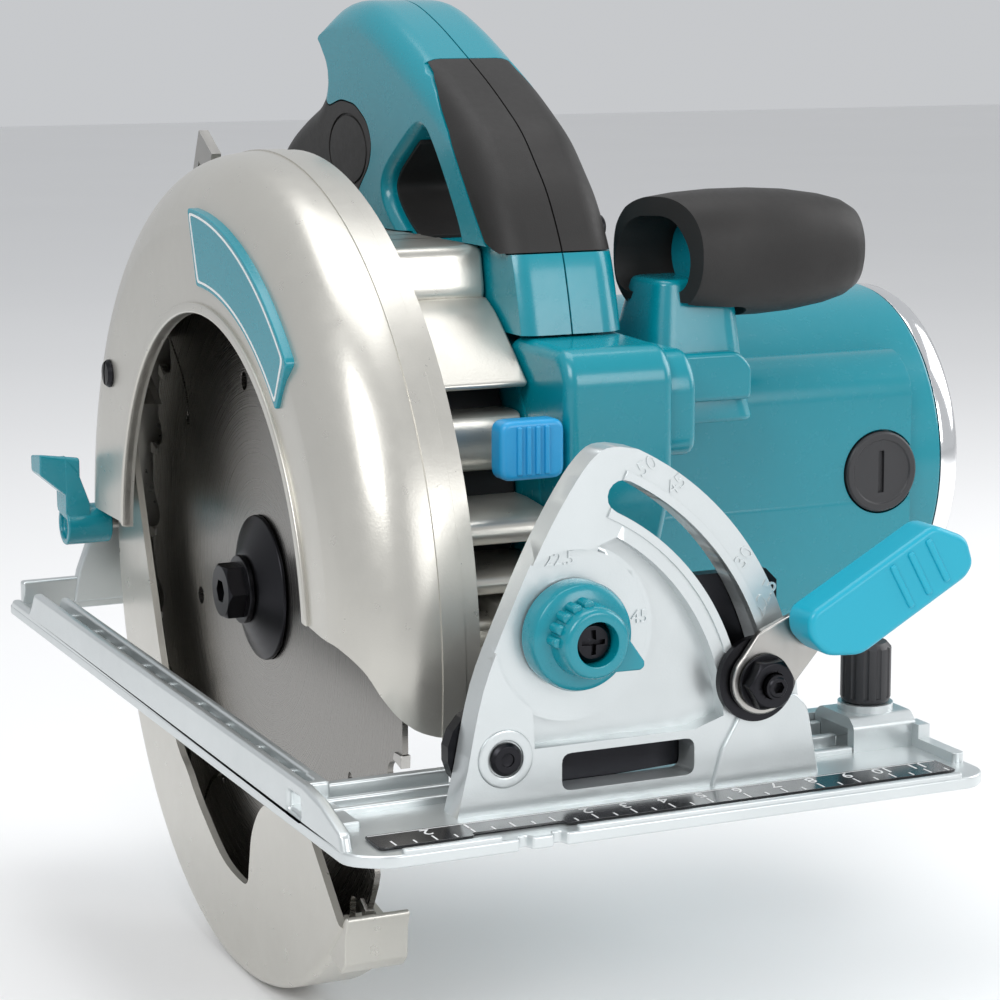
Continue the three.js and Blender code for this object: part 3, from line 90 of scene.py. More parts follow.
REAR_WALL = 4.0
OPEN_FRONT = 28.0
OPEN_REAR = BASE_HIGH.y - REAR_WALL
SLOT_RIGHT = 31.0
SLOT_MIDDLE = 66.5
MOTOR_R = 48.6
LENS = 100.29
CAMERA_PLACE = (-253.05, -570.39, 186.74)
CAMERA_TURN = -24.21
CAMERA_TIP = 80.0
CAMERA_ROLL = -0.32
SKY_STRENGTH = 0.6


# ------------------------------------------------------------------ sizes and colours a user may change

class SawSizes(bpy.types.PropertyGroup):
    """Sizes of the fine detail."""
    round_cast: bpy.props.FloatProperty(
        name="Cast edge", description="Rounding of cast edges", default=0.9 * MM, min=0, unit="LENGTH")
    seam: bpy.props.FloatProperty(
        name="Seam", description="Width of the joints between mouldings", default=0.45 * MM, min=0,
        unit="LENGTH")
    teeth: bpy.props.IntProperty(name="Teeth", description="Teeth on the blade", default=24, min=8)
    tick_gap: bpy.props.FloatProperty(
        name="Scale step", description="Distance between long marks", default=10 * MM, unit="LENGTH")
    lever_ribs: bpy.props.IntProperty(name="Lever ribs", description="Raised ribs on the lever", default=3,
                                      min=0)
    tab_ribs: bpy.props.IntProperty(name="Tab ribs", description="Raised ribs on the lock tab", default=4,
                                    min=0)


def colour(name, text, value):
    return bpy.props.FloatVectorProperty(name=name, description=text, default=value, size=3, min=0, max=1,
                                         subtype="COLOR")


class SawColours(bpy.types.PropertyGroup):
    """Colours of the finishes, as linear values."""
    teal: colour("Teal", "Housing and handle", (0.0, 0.215, 0.275))
    lever: colour("Lever", "Bevel lever", (0.0, 0.33, 0.46))
    blue: colour("Blue", "Shaft lock", (0.012, 0.28, 0.56))
    rubber: colour("Rubber", "Soft grips", (0.019, 0.018, 0.0175))
    cast: colour("Base", "Painted base casting", (0.60, 0.635, 0.64))
    guard: colour("Guards", "Painted guards and gear case", (0.565, 0.55, 0.505))
    steel: colour("Steel", "Ground steel", (0.42, 0.41, 0.39))
    black: colour("Black", "Blackened steel and black mouldings", (0.016, 0.016, 0.018))


# ------------------------------------------------------------------ finishes

class Value:
    """A shader value: arithmetic on it adds Math nodes."""

    def __init__(self, finish, socket):
        self.finish = finish
        self.socket = socket

    def math(self, operation, *others, first=None):
        inputs = {i: v for i, v in enumerate([first if first is not None else self, *others])}
        if first is not None:
            inputs[1] = self
        return self.finish.node("ShaderNodeMath", {"operation": operation}, inputs)

    def __add__(self, other):
        return self.math("ADD", other)

    def __mul__(self, other):
        return self.math("MULTIPLY", other)

    def __rsub__(self, other):
        return self.math("SUBTRACT", first=other)

    __radd__ = __add__
    __rmul__ = __mul__

    def between(self, low, high):
        """0 below low, 1 above high and smooth between them."""
        return self.finish.node("ShaderNodeMapRange", {"interpolation_type": "SMOOTHSTEP"},
                                {"Value": self, "From Min": low, "From Max": high})


class Finish:
    """One material with a Principled shader."""

    def __init__(self, name, **constants):
        self.material = bpy.data.materials.new(name)
        self.material.use_nodes = True
        self.tree = self.material.node_tree
        self.shader = self.tree.nodes["Principled BSDF"]
        for socket, value in constants.items():
            self.shader.inputs[socket.replace("_", " ")].default_value = value

    def node(self, kind, settings=None, inputs=None, output=0):
        made = self.tree.nodes.new(kind)
        for name, value in (settings or {}).items():
            setattr(made, name, value)
        for name, value in (inputs or {}).items():
            self.put(made.inputs[name], value)
        return Value(self, made.outputs[output])

    def put(self, socket, value):
        if isinstance(value, Value):
            self.tree.links.new(value.socket, socket)
        else:
            socket.default_value = value

    def feed(self, socket, value):
        self.put(self.shader.inputs[socket], value)

    def mix(self, factor, first, second):
        """Colours from first to second as factor goes from 0 to 1."""
        return self.node("ShaderNodeMix", {"data_type": "RGBA"}, {0: factor, 6: first, 7: second}, output=2)

    def place(self, scale=(1, 1, 1)):
        """Place on the piece, stretched by scale."""
        where = self.node("ShaderNodeTexCoord", output=3)
        return self.node("ShaderNodeMapping", {}, {"Vector": where, "Scale": scale})

    def noise(self, scale, detail=3.0, stretch=(1, 1, 1)):
        return self.node("ShaderNodeTexNoise", {},
                         {"Vector": self.place(stretch), "Scale": scale, "Detail": detail})

    def bump(self, height, distance, strength=1.0):
        """Raises the surface by height times distance, in metres."""
        self.feed("Normal", self.node("ShaderNodeBump", {}, {
            "Strength": strength, "Distance": distance, "Height": height}))


def shade(base, factor):
    return (*[min(1.0, c * factor) for c in base], 1.0)


def cast_finish(name, base, roughness, metallic=0.72):
    f = Finish(name, Metallic=metallic, Coat_Weight=0.12, Coat_Roughness=0.25)
    cloud = f.noise(28, 4)
    f.feed("Base Color", f.mix(cloud, shade(base, 0.92), shade(base, 1.08)))
    f.feed("Roughness", f.noise(210, 5) * 0.14 + (roughness - 0.07))
    f.bump(f.noise(1500, 2) + f.noise(260, 2) * 0.6, 0.022 * MM)
    return f.material


def moulded_finish(name, base, roughness, grain=0.012, coat=0.25):
    f = Finish(name, Coat_Weight=coat, Coat_Roughness=0.12)
    f.feed("Base Color", f.mix(f.noise(16, 3), shade(base, 0.92), shade(base, 1.1)))
    f.feed("Roughness", f.noise(320, 4) * 0.12 + (roughness - 0.06))
    f.bump(f.noise(900, 3), grain * MM)
    return f.material


def rubber_finish(name, base):
    f = Finish(name, Specular_IOR_Level=0.3)
    dust = f.noise(40, 5).between(0.35, 0.8)
    f.feed("Base Color", f.mix(dust, shade(base, 0.9), shade(base, 1.35)))
    f.feed("Roughness", f.noise(500, 3) * 0.16 + 0.44)
    f.bump(f.noise(2600, 3), 0.03 * MM)
    return f.material


def polished_finish(name):
    f = Finish(name, Metallic=1.0)
    f.feed("Base Color", f.mix(f.noise(25, 3), (0.80, 0.81, 0.82, 1), (0.90, 0.905, 0.91, 1)))
    f.feed("Roughness", f.noise(420, 4, (0.05, 1, 1)) * 0.10 + 0.05)
    return f.material


def steel_finish(name, base, roughness=0.32):
    f = Finish(name, Metallic=1.0)
    scratches = f.noise(900, 4, (1, 0.04, 0.04))
    f.feed("Base Color", f.mix(f.noise(35, 4), shade(base, 0.86), shade(base, 1.18)))
    f.feed("Roughness", scratches * 0.16 + (roughness - 0.08))
    f.bump(scratches, 0.006 * MM)
    return f.material


def ground_blade_finish(name, base):
    """Steel ground in rings round the arbor, with a warm film."""
    f = Finish(name, Metallic=1.0)
    where = f.node("ShaderNodeTexCoord", output=3)
    offset = f.node("ShaderNodeVectorMath", {"operation": "SUBTRACT"}, {0: where, 1: (0, AY * MM, AZ * MM)})
    radius = f.node("ShaderNodeVectorMath", {"operation": "LENGTH"}, {0: offset}, output=1)
    rings = f.node("ShaderNodeTexNoise", {"noise_dimensions": "1D"},
                   {"W": radius * 1000, "Scale": 2.4, "Detail": 4})
    cloud = f.noise(22, 4)
    f.feed("Base Color", f.mix(rings * 0.6 + cloud * 0.4, shade(base, 0.78), shade(base, 1.2)))
    f.feed("Roughness", rings * 0.16 + cloud * 0.08 + 0.16)
    f.bump(rings, 0.012 * MM)
    return f.material


def print_finish(name, base):
    f = Finish(name)
    f.feed("Base Color", f.mix(f.noise(700, 3), shade(base, 0.85), shade(base, 1.0)))
    f.feed("Roughness", f.noise(300, 2) * 0.1 + 0.4)
    return f.material


def copper_finish(name):
    """Varnished winding wire and laminations."""
    f = Finish(name, Metallic=0.9)
    wires = f.noise(1200, 2, (1, 0.05, 1))
    f.feed("Base Color", f.mix(wires, (0.32, 0.11, 0.035, 1), (0.62, 0.27, 0.11, 1)))
    f.feed("Roughness", wires * 0.2 + 0.25)
    f.bump(wires, 0.05 * MM)
    return f.material


FINISHES = {}


def make_finishes(c):
    black = tuple(c.black)
    FINISHES.update({
        "cast_silver": cast_finish("painted_base", c.cast, 0.34),
        "cast_warm": cast_finish("painted_guard", c.guard, 0.30),
        "teal_plastic": moulded_finish("teal_moulding", c.teal, 0.26),
        "lever_plastic": moulded_finish("lever_moulding", c.lever, 0.40, 0.02, 0.1),
        "blue_plastic": moulded_finish("blue_moulding", c.blue, 0.38, 0.02, 0.1),
        "rubber": rubber_finish("soft_grip", c.rubber),
        "black_plastic": moulded_finish("black_moulding", shade(black, 1.3)[:3], 0.45, 0.03, 0.0),
        "polished": polished_finish("polished_cap"),
        "steel": steel_finish("ground_steel", c.steel),
        "dark_steel": steel_finish("blackened_steel", shade(black, 1.6)[:3], 0.36),
        "steel_laminations": steel_finish("laminations", (0.12, 0.12, 0.12), 0.5),
        "armature_copper": copper_finish("windings"),
        "carbon": moulded_finish("pressed_carbon", black, 0.7, 0.05, 0.0),
        "blade": ground_blade_finish("blade_steel", (0.24, 0.23, 0.215)),
        "tape": moulded_finish("scale_tape", (0.012, 0.012, 0.014), 0.22, 0.004, 0.3),
        "print": print_finish("white_print", (0.75, 0.76, 0.76)),
        # near-black finish: painted shade for the gear case's hollows
        "shadow": moulded_finish("painted_inner_shade", (0.008, 0.008, 0.009), 0.8, 0.02, 0.0),
    })


# ------------------------------------------------------------------ shapes

def arc(u, v, radius, start, end, steps=16):
    return [(u + radius * math.cos(math.radians(start + (end - start) * i / steps)),
             v + radius * math.sin(math.radians(start + (end - start) * i / steps))) for i in range(
                 steps + 1)]


def smooth(points, steps=6):
    """A smooth open line through the points."""
    line = [points[0], *points, points[-1]]
    made = []
    for a, b, c, d in zip(line, line[1:], line[2:], line[3:]):
        for i in range(steps):
            t = i / steps
            made.append(tuple(0.5 * (2 * q + (r - p) * t + (2 * p - 5 * q + 4 * r - s) * t ** 2
                                     + (3 * q - p - 3 * r + s) * t ** 3) for p, q, r, s in zip(a, b, c, d)))
    return made + [tuple(points[-1])]


def rounded_outline(points, radius, steps=4):
    """A closed outline with each corner rounded."""
    made = []
    for i, corner in enumerate(points):
        here = Vector(corner)
        before, after = Vector(points[i - 1]) - here, Vector(points[(i + 1) % len(points)]) - here
        reach = min(radius, before.length * 0.45, after.length * 0.45)
        start, end = here + before.normalized() * reach, here + after.normalized() * reach
        for k in range(steps + 1):
            t = k / steps
            made.append(tuple(start * (1 - t) ** 2 + here * 2 * t * (1 - t) + end * t ** 2))
    return made


def rectangle(u0, u1, v0, v1):
    return [(u0, v0), (u1, v0), (u1, v1), (u0, v1)]


def hexagon(u, v, radius):
    return arc(u, v, radius, 0, 300, 5)


def new_piece(name, mesh):
    piece = bpy.data.objects.new(name, mesh)
    bpy.context.scene.collection.objects.link(piece)
    return piece


def from_bmesh(name, bm):
    bmesh.ops.remove_doubles(bm, verts=bm.verts, dist=1e-7)
    bmesh.ops.recalc_face_normals(bm, faces=bm.faces)
    mesh = bpy.data.meshes.new(name)
    bm.to_mesh(mesh)
    bm.free()
    return new_piece(name, mesh)


SPREAD = {"x": lambda a, b, w: (w, a, b), "y": lambda a, b, w: (a, w, b), "z": lambda a, b, w: (a, b, w)}


def loft(name, outlines, axis, stations):
    """A closed solid through outlines with the same number of points, one at each station along the axis."""
    bm = bmesh.new()
    rows = [[bm.verts.new(Vector(SPREAD[axis](a, b, w)) * MM) for a, b in line]
            for line, w in zip(outlines, stations)]
    for low, high in zip(rows, rows[1:]):
        for i in range(len(low)):
            bm.faces.new((low[i - 1], low[i], high[i], high[i - 1]))
    bm.faces.new(rows[0])
    bm.faces.new(rows[-1])
    return from_bmesh(name, bm)


def prism(name, outline, axis, start, end):
    return loft(name, [outline, outline], axis, [start, end])


def box(name, x0, x1, y0, y1, z0, z1):
    return prism(name, rectangle(x0, x1, y0, y1), "z", z0, z1)


def turned(name, profile, axis, place, steps=96):
    """A solid turned about an axis through place; the profile holds (radius, along)."""
    bm = bmesh.new()
    closed = profile[0][0] > 0
    rings = []
    for i in range(steps):
        c, s = math.cos(2 * math.pi * i / steps), math.sin(2 * math.pi * i / steps)
        ring = []
        for r, a in profile:
            u, v = r * c, r * s
            ring.append(bm.verts.new((Vector(place) + Vector(SPREAD[axis](u, v, a))) * MM))
        rings.append(ring)
    count = len(profile) if closed else len(profile) - 1
    for i in range(steps):
        low, high = rings[i - 1], rings[i]
        for k in range(count):
            n = (k + 1) % len(profile)
            bm.faces.new((low[k], low[n], high[n], high[k]))
    bmesh.ops.remove_doubles(bm, verts=bm.verts, dist=1e-7)
    bmesh.ops.dissolve_degenerate(bm, edges=bm.edges, dist=1e-7)
    return from_bmesh(name, bm)


def rod(name, axis, place, radius, start, end, steps=48):
    return turned(name, [(0, start), (radius, start), (radius, end), (0, end)], axis, place, steps)


def tube(name, axis, place, inner, outer, start, end, steps=64):
    return turned(name, [(inner, start), (outer, start), (outer, end), (inner, end)], axis, place, steps)


def settle(piece):
    """Turns the piece's modifiers into its mesh."""
    graph = bpy.context.evaluated_depsgraph_get()
    made = bpy.data.meshes.new_from_object(piece.evaluated_get(graph))
    old = piece.data
    piece.modifiers.clear()
    piece.data = made
    bpy.data.meshes.remove(old)
    return piece


def combine(piece, tools, operation):
    for tool in tools:
        change = piece.modifiers.new("shape", "BOOLEAN")
        change.operation = operation
        change.object = tool
        change.solver = "EXACT"
        settle(piece)
        bpy.data.objects.remove(tool)
    return piece


def cut(piece, *tools):
    return combine(piece, tools, "DIFFERENCE")


def join(piece, *tools):
    return combine(piece, tools, "UNION")


def within(piece, *tools):
    return combine(piece, tools, "INTERSECT")


def copy(piece, name):
    return new_piece(name, piece.data.copy())


def rounded(piece, width, segments=3, angle=32):
    """Rounds the sharp edges and keeps the flats flat. The width is in millimetres."""
    if width > 0:
        bevel = piece.modifiers.new("round", "BEVEL")
        bevel.width = width * MM
        bevel.segments = segments
        bevel.limit_method = "ANGLE"
        bevel.angle_limit = math.radians(angle)
        bevel.miter_outer = "MITER_ARC"
    settle(piece)
    piece.data.polygons.foreach_set("use_smooth", [True] * len(piece.data.polygons))
    piece.data.set_sharp_from_angle(angle=math.radians(42))
    weigh = piece.modifiers.new("normals", "WEIGHTED_NORMAL")
    weigh.keep_sharp = True
    return settle(piece)


def gather(name, *parts):
    """One piece out of several solids that touch."""
    bm = bmesh.new()
    for part in parts:
        bm.from_mesh(part.data)
    mesh = bpy.data.meshes.new(name)
    bm.to_mesh(mesh)
    bm.free()
    for part in parts:
        bpy.data.objects.remove(part)
    piece = new_piece(name, mesh)
    mesh.polygons.foreach_set("use_smooth", [True] * len(mesh.polygons))
    mesh.set_sharp_from_angle(angle=math.radians(38))
    weigh = piece.modifiers.new("normals", "WEIGHTED_NORMAL")
    weigh.keep_sharp = True
    return settle(piece)


def put(piece, body, finish, *nodes, slot=None):
    """Gives the piece its finish and its body, and hides the CAD nodes it stands for."""
    piece.data.materials.clear()
    piece.data.materials.append(FINISHES[finish])
    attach(piece, body)
    if nodes:
        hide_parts(*nodes)
    return piece


def lettering(name, text, size, depth, matrix):
    """Raised figures; the matrix sets them on their surface."""
    curve = bpy.data.curves.new(name, "FONT")
    curve.body = text
    curve.size = size * MM
    curve.extrude = depth * MM
    curve.align_x = "CENTER"
    curve.align_y = "CENTER"
    curve.resolution_u = 3
    source = new_piece(name + "_line", curve)
    bpy.context.view_layer.update()
    mesh = bpy.data.meshes.new_from_object(source.evaluated_get(bpy.context.evaluated_depsgraph_get()))
    bpy.data.objects.remove(source)
    mesh.transform(matrix)
    return new_piece(name, mesh)


def facing_front(x, y, z, turn=0):
    """Matrix that stands figures on a front face."""
    return (Matrix.Translation(Vector((x, y, z)) * MM) @ Matrix.Rotation(math.radians(-turn), 4, "Y")
            @ Matrix.Rotation(math.radians(90), 4, "X"))


# ------------------------------------------------------------------ operators

class Maker:
    bl_options = {"REGISTER", "UNDO"}

    @property
    def sizes(self):
        return bpy.context.scene.saw_sizes


class SAW_OT_stage(Maker, bpy.types.Operator):
    """Camera, floor and studio light"""
    bl_idname = "saw.stage"
    bl_label = "Stage"

    def execute(self, context):
        data = bpy.data.cameras.new("camera")
        data.sensor_width = 36
        data.lens = LENS
        data.clip_start, data.clip_end = 0.02, 20
        camera = bpy.data.objects.new("camera", data)
        context.scene.collection.objects.link(camera)
        turn = Matrix.Rotation(math.radians(CAMERA_TURN), 4, "Z")
        tip = Matrix.Rotation(math.radians(CAMERA_TIP), 4, "X")
        roll = Matrix.Rotation(math.radians(CAMERA_ROLL), 4, "Z")
        camera.matrix_world = Matrix.Translation(Vector(CAMERA_PLACE) * MM) @ turn @ tip @ roll
        context.scene.camera = camera
        context.scene.view_settings.view_transform = "Standard"
        ground = edge("lower_guard", 0, 2) - 0.5
        floor = prism("floor", rectangle(-6000, 6000, -6000, 6000), "z", ground - 4, ground)
        f = Finish("pale_floor")
        f.feed("Base Color", f.mix(f.noise(3, 2), (0.86, 0.86, 0.86, 1), (0.89, 0.89, 0.89, 1)))
        f.feed("Roughness", f.noise(8, 2) * 0.1 + 0.6)
        floor.data.materials.append(f.material)
        world = bpy.data.worlds.new("studio")
        world.use_nodes = True
        world.node_tree.nodes["Background"].inputs["Color"].default_value = (0.95, 0.97, 1.0, 1)
        world.node_tree.nodes["Background"].inputs["Strength"].default_value = SKY_STRENGTH
        context.scene.world = world
        lamps = {
            "key": ((-900, -700, 1000), (0, 120, 40), 0.7, 10),
            "front": ((500, -1200, 500), (60, 100, 40), 0.6, 5),
            "side": ((1000, 0, 500), (100, 150, 40), 0.7, 5),
            "top": ((100, 200, 1300), (60, 150, 60), 0.9, 7),
        }
        for name, (place, aim, size, power) in lamps.items():
            light = bpy.data.lights.new(name, "AREA")
            light.size = size
            light.energy = power
            lamp = bpy.data.objects.new(name, light)
            context.scene.collection.objects.link(lamp)
            lamp.location = Vector(place) * MM
            lamp.rotation_euler = (Vector(aim) - Vector(place)).to_track_quat("-Z", "Y").to_euler()
        return {"FINISHED"}


class SAW_OT_base(Maker, bpy.types.Operator):
    """Cast base with its rails, ribs, wing, bevel sector and rear bracket"""
    bl_idname = "saw.base"
    bl_label = "Base"

    def sector(self, r):
        reach = 78
        arch = arc(BEVEL_X, BEVEL_Z, reach, 3, 64, 30)
        outline = rounded_outline([(-9, SOLE_TOP - 1), (BEVEL_X + reach + 4, SOLE_TOP - 1)], 0.1, 1) + [
            (BEVEL_X + reach + 2, 9)] + arch + smooth(
            [(33, 87), (28, 86.2), (22, 80), (13.5, 66.3), (5, 49), (-1.9, 32.5), (-6, 14)], 4)
        inner = [(11, 17.5), (53, 17.5)] + arc(BEVEL_X, BEVEL_Z, 57.5, 4, 60, 20) + smooth(
            [(24, 63), (19, 53), (13.5, 40), (10.5, 28)], 3)
        slot = arc(BEVEL_X, BEVEL_Z, 70.4, 7, 63, 24)
        slot += arc(*self.on_slot(63), 3.9, 63, 243, 8)[1:-1] + arc(BEVEL_X, BEVEL_Z, 62.6, 63, 7, 24)
        slot += arc(*self.on_slot(7), 3.9, -173, 7, 8)[1:-1]
        slot_rim = arc(BEVEL_X, BEVEL_Z, 72.4, 5.5, 64.5, 24) + arc(BEVEL_X, BEVEL_Z, 60.6, 64.5, 5.5, 24)
        frame_rim = cut(prism("sector_rim", outline, "y", -2, 6), prism("inner", inner, "y", -3, 2.6))
        pad = within(rod("pad", "y", (KNOB.x, 0, KNOB.z), 21, -0.8, 3, 72),
                     prism("inside", outline, "y", -3, 6))
        raised = prism("raised", slot_rim, "y", -2.7, 0)
        tools = [
            lambda: prism("slot", slot, "y", -6, 8),
            lambda: prism("notch", rounded_outline(rectangle(18, 53, 6.5, 15.5), 2.5), "y", -6, 8),
            lambda: rod("recess", "y", (KNOB.x, 0, KNOB.z), 19.8, -6, -0.79, 72),
        ]
        body = join(frame_rim, pad)
        for tool in tools:
            cut(body, tool())
        cut(raised, tools[0](), tools[2]())
        boss = tube("pin_boss", "y", (BEVEL_X, 0, BEVEL_Z), 4.3, 7, -2.6, 5, 40)
        foot = prism("foot", rounded_outline(
            [(57, SOLE_TOP - 1), (87, SOLE_TOP - 1), (83.5, 20), (80, 24), (66, 22), (60, 12)], 2), "y",
            -3.2, 4)
        return [rounded(body, r, 3), rounded(raised, 0.7, 2), rounded(boss, 0.6, 2), rounded(foot, r, 3)]

    @staticmethod
    def on_slot(angle):
        turn = math.radians(angle)
        return (BEVEL_X + SLOT_MIDDLE * math.cos(turn), BEVEL_Z + SLOT_MIDDLE * math.sin(turn))

    def execute(self, context):
        r = self.sizes.round_cast / MM
        left, right, front, rear = BASE_LOW.x, BASE_HIGH.x, BASE_LOW.y, BASE_HIGH.y
        strip, rail = 62, left + 11
        outline = rounded_outline([
            (left, front + 6), (left + 8, front), (right - 5, front), (right, front + 5),
            (right, OPEN_FRONT), (right - 4, OPEN_FRONT + 5), (strip + 3, OPEN_FRONT + 5),
            (strip, OPEN_FRONT + 10), (strip, rear), (left, rear)], 4)
        sole = cut(
            prism("sole", outline, "z", 0, SOLE_TOP),
            prism("opening", rounded_outline(rectangle(rail, SLOT_RIGHT, OPEN_FRONT, OPEN_REAR), 3), "z",
                  -1, 9),
            prism("bay", rounded_outline(rectangle(20, 46, 118.4, 185.6), 3), "z", -1, 9))
        for x0, x1 in ((-2.4, 1.6), (6.2, 10.2)):
            cut(sole, prism("sight", [(x0, front - 1), (x1, front - 1), (x1 - 1, front + 2.5),
                                      (x0 + 1, front + 2.5)],
                            "z", -1, 9))
        relief = OPEN_REAR - 22
        outer = [(front + 7, 2), (front + 9, 6.5), (front + 24, 11), (front + 32, 12), (relief - 6, 12),
                 (relief, 5), (rear - 5, 5), (rear - 3, 2)]
        inner = [(OPEN_FRONT - 4, 2), (OPEN_FRONT - 4, 9), (relief - 6, 10), (relief, 5), (OPEN_REAR, 5),
                 (OPEN_REAR, 2)]
        fence = lambda: prism("fence", rectangle(12, 21, 3.4, 8.4), "x", left - 2, rail + 2)
        outer_wall = cut(prism("outer_wall", outer, "x", left, left + 3), fence())
        inner_wall = prism("inner_wall", inner, "x", rail - 2.4, rail)
        parts = [rounded(sole, 1.0), rounded(outer_wall, 1.1), rounded(inner_wall, r)]
        parts.append(rounded(prism("rail_floor", rectangle(left + 1, rail, front + 24, relief), "z", 2.5,
                                   4.4), 0.5))
        for i in range(9):
            y = 40 + i * 24
            parts.append(rounded(box("rib", left + 2, rail - 1, y - 1, y + 1, 3, 7.5), 0.5, 2))
        for i in range(4):
            parts.append(rounded(tube("boss", "z", (left + 6.2, 52 + i * 48, 0), 1.6, 3.2, 3, 7, 24), 0.4,
                                 2))
        parts.append(rounded(prism("rail_end", rounded_outline([
            (left + 1, 21), (rail, 21), (rail, 31), (rail - 3, 31), (rail - 3, 24), (left + 1, 24)], 1),
            "z", 2, 9), r))
        cross = [((OPEN_FRONT - 3.2, OPEN_FRONT), 7.2), ((OPEN_FRONT - 9, OPEN_FRONT - 6.6), 5.2),
                 ((OPEN_FRONT - 16, OPEN_FRONT - 14), 4.8)]
        for (y0, y1), top in cross:
            parts.append(rounded(box("cross_rib", rail - 3, 1, y0, y1, 2, top), 0.7))
        parts.append(rounded(box("front_lip", left + 12, -6, front + 0.4, front + 2.2, 2, 4.1), 0.5, 2))
        parts.append(rounded(box("front_lip", 13, right - 9, front + 0.4, front + 2.2, 2, 4.1), 0.5, 2))
        parts.append(rounded(box("rear_wall", left + 4, strip - 2, OPEN_REAR, rear, 2, 10), r))
        parts.append(rounded(box("strip_wall", strip - 3, strip, OPEN_FRONT + 12, rear - 3, 2, 6), r))
        wing = [(strip + 4, OPEN_FRONT + 0.4), (right - 8, OPEN_FRONT + 0.4), (right - 4, OPEN_FRONT - 4),
                (right - 4, front + 12), (right - 0.6, front + 12), (right - 0.6, OPEN_FRONT - 2),
                (right - 5, OPEN_FRONT + 4.6), (strip + 4, OPEN_FRONT + 4.6)]
        rim = cut(prism("wing_rim", rounded_outline(wing, 2), "z", 2, 9),
                  box("slope", right - 8, right + 1, front + 5, 6, 5.5, 12),
                  box("fence", right - 10, right + 2, 12, 24.6, 3.4, 12))
        parts.append(rounded(rim, r))
        clamp_x, clamp_y = centre("fence_clamp_screw").x, centre("fence_clamp_screw").y
        bridge = join(
            prism("bridge", rounded_outline([(9, 2), (28, 2), (28, 9.5), (25.5, 11.6), (11.5, 11.6),
                                             (9, 9.5)], 1), "x",
                  clamp_x - 9, clamp_x + 9),
            rod("clamp_boss", "z", (clamp_x, clamp_y, 0), 7, 8, 13.4, 48))
        cut(bridge, prism("channel", rectangle(12, 25, 3.2, 8.6), "x", clamp_x - 20, clamp_x + 20),
            rod("bore", "z", (clamp_x, clamp_y, 0), 3.4, 4, 20, 24))
        parts.append(rounded(bridge, r))
        for i in range(3):
            parts.append(rounded(box("step", 86, clamp_x - 9, 9 + i * 8, 11.4 + i * 8, 2, 4.6 + i * 1.4),
                                 0.6, 2))
        parts += self.sector(r)
        bracket = [(-22, 2), (18, 2), (16, 24), *arc(BEVEL_X, BEVEL_Z, 15, 35, 90, 10), (-13, 31),
                   (-15, 25), (-20, 12)]
        parts.append(rounded(cut(prism("bracket", bracket, "y", OPEN_REAR - 0.6, rear - 0.3),
                                 rod("bore", "y", (BEVEL_X, 0, BEVEL_Z), 4.3, OPEN_REAR - 2, rear + 2, 32)),
                                 r))
        put(gather("base_casting", *parts), "base", "cast_silver", "base_plate")
        figures = []
        for angle, label in ((61, "50"), (54, "45"), (34, "30"), (25, "22.5")):
            x, z = (BEVEL_X + 75.4 * math.cos(math.radians(angle)),
                    BEVEL_Z + 75.4 * math.sin(math.radians(angle)))
            figures.append(lettering("figure", label, 5.2, 0.25, facing_front(x, -2.1, z, 90 - angle)))
        figures.append(lettering("figure", "22.5", 4.6, 0.25,
                                 facing_front(KNOB.x - 3, -0.9, KNOB.z + 17.6)))
        figures.append(lettering("figure", "45", 4.6, 0.25, facing_front(KNOB.x + 17.8, -0.9, KNOB.z + 2)))
        put(gather("sector_figures", *figures), "base", "cast_silver")
        pin = turned("bevel_pin", [(0, -3.6), (3.2, -3.6), (4, -2.8), (4, 12), (0, 12)], "y",
                     (BEVEL_X, 0, BEVEL_Z), 40)
        dimple = rod("dimple", "y", (BEVEL_X, 0, BEVEL_Z), 1.6, -5, -3, 24)
        put(rounded(cut(pin, dimple), 0.25, 2), "base", "dark_steel", "front_bevel_pin")
        return {"FINISHED"}


class SAW_OT_scale(Maker, bpy.types.Operator):
    """Black scale tape with white marks and figures"""
    bl_idname = "saw.scale"
    bl_label = "Scale"

    def execute(self, context):
        low, top = edge("edge_scale", 0, 1), edge("edge_scale", 1, 2)
        x0, x1, y1 = edge("edge_scale", 0, 0), edge("edge_scale", 1, 0), edge("edge_scale", 1, 1)
        outline = rounded_outline([(x0, low), (-11, low), (-11, low + 2), (12, low + 2), (12, low),
                                   (x1, low), (x1, y1), (x0, y1)], 1.2)
        tape = rounded(prism("scale_tape", outline, "z", top - 0.5, top), 0.1, 2)
        put(tape, "base", "tape", "edge_scale", slot="black_plastic")
        step = self.sizes.tick_gap / MM
        marks = []
        for i in range(-6, 24):
            x = i * step / 2
            front = low + 2.3 if -11 < x < 12 else low + 0.4
            long = 3.4 if i % 2 == 0 else 2.2
            if x0 + 2 < x < x1 - 2:
                marks.append(box("mark", x - 0.22, x + 0.22, front, front + long, top - 0.1, top + 0.06))
        for i in (-2, -1, *range(2, 12)):
            place = Matrix.Translation(Vector((i * step, low + 7.0, top)) * MM) @ Matrix.Rotation(math.pi,
                                                                                                  4, "Z")
            marks.append(lettering("figure", str(abs(i)), 5.4, 0.06, place))
        border = cut(prism("border", rounded_outline(rectangle(x0 + 0.5, x1 - 0.5, y1 - 0.9, y1 - 0.6),
                                                     0.05, 1), "z",
                           top - 0.1, top + 0.05))
        put(gather("scale_marks", border, *marks), "base", "print", slot="black_plastic")
        return {"FINISHED"}


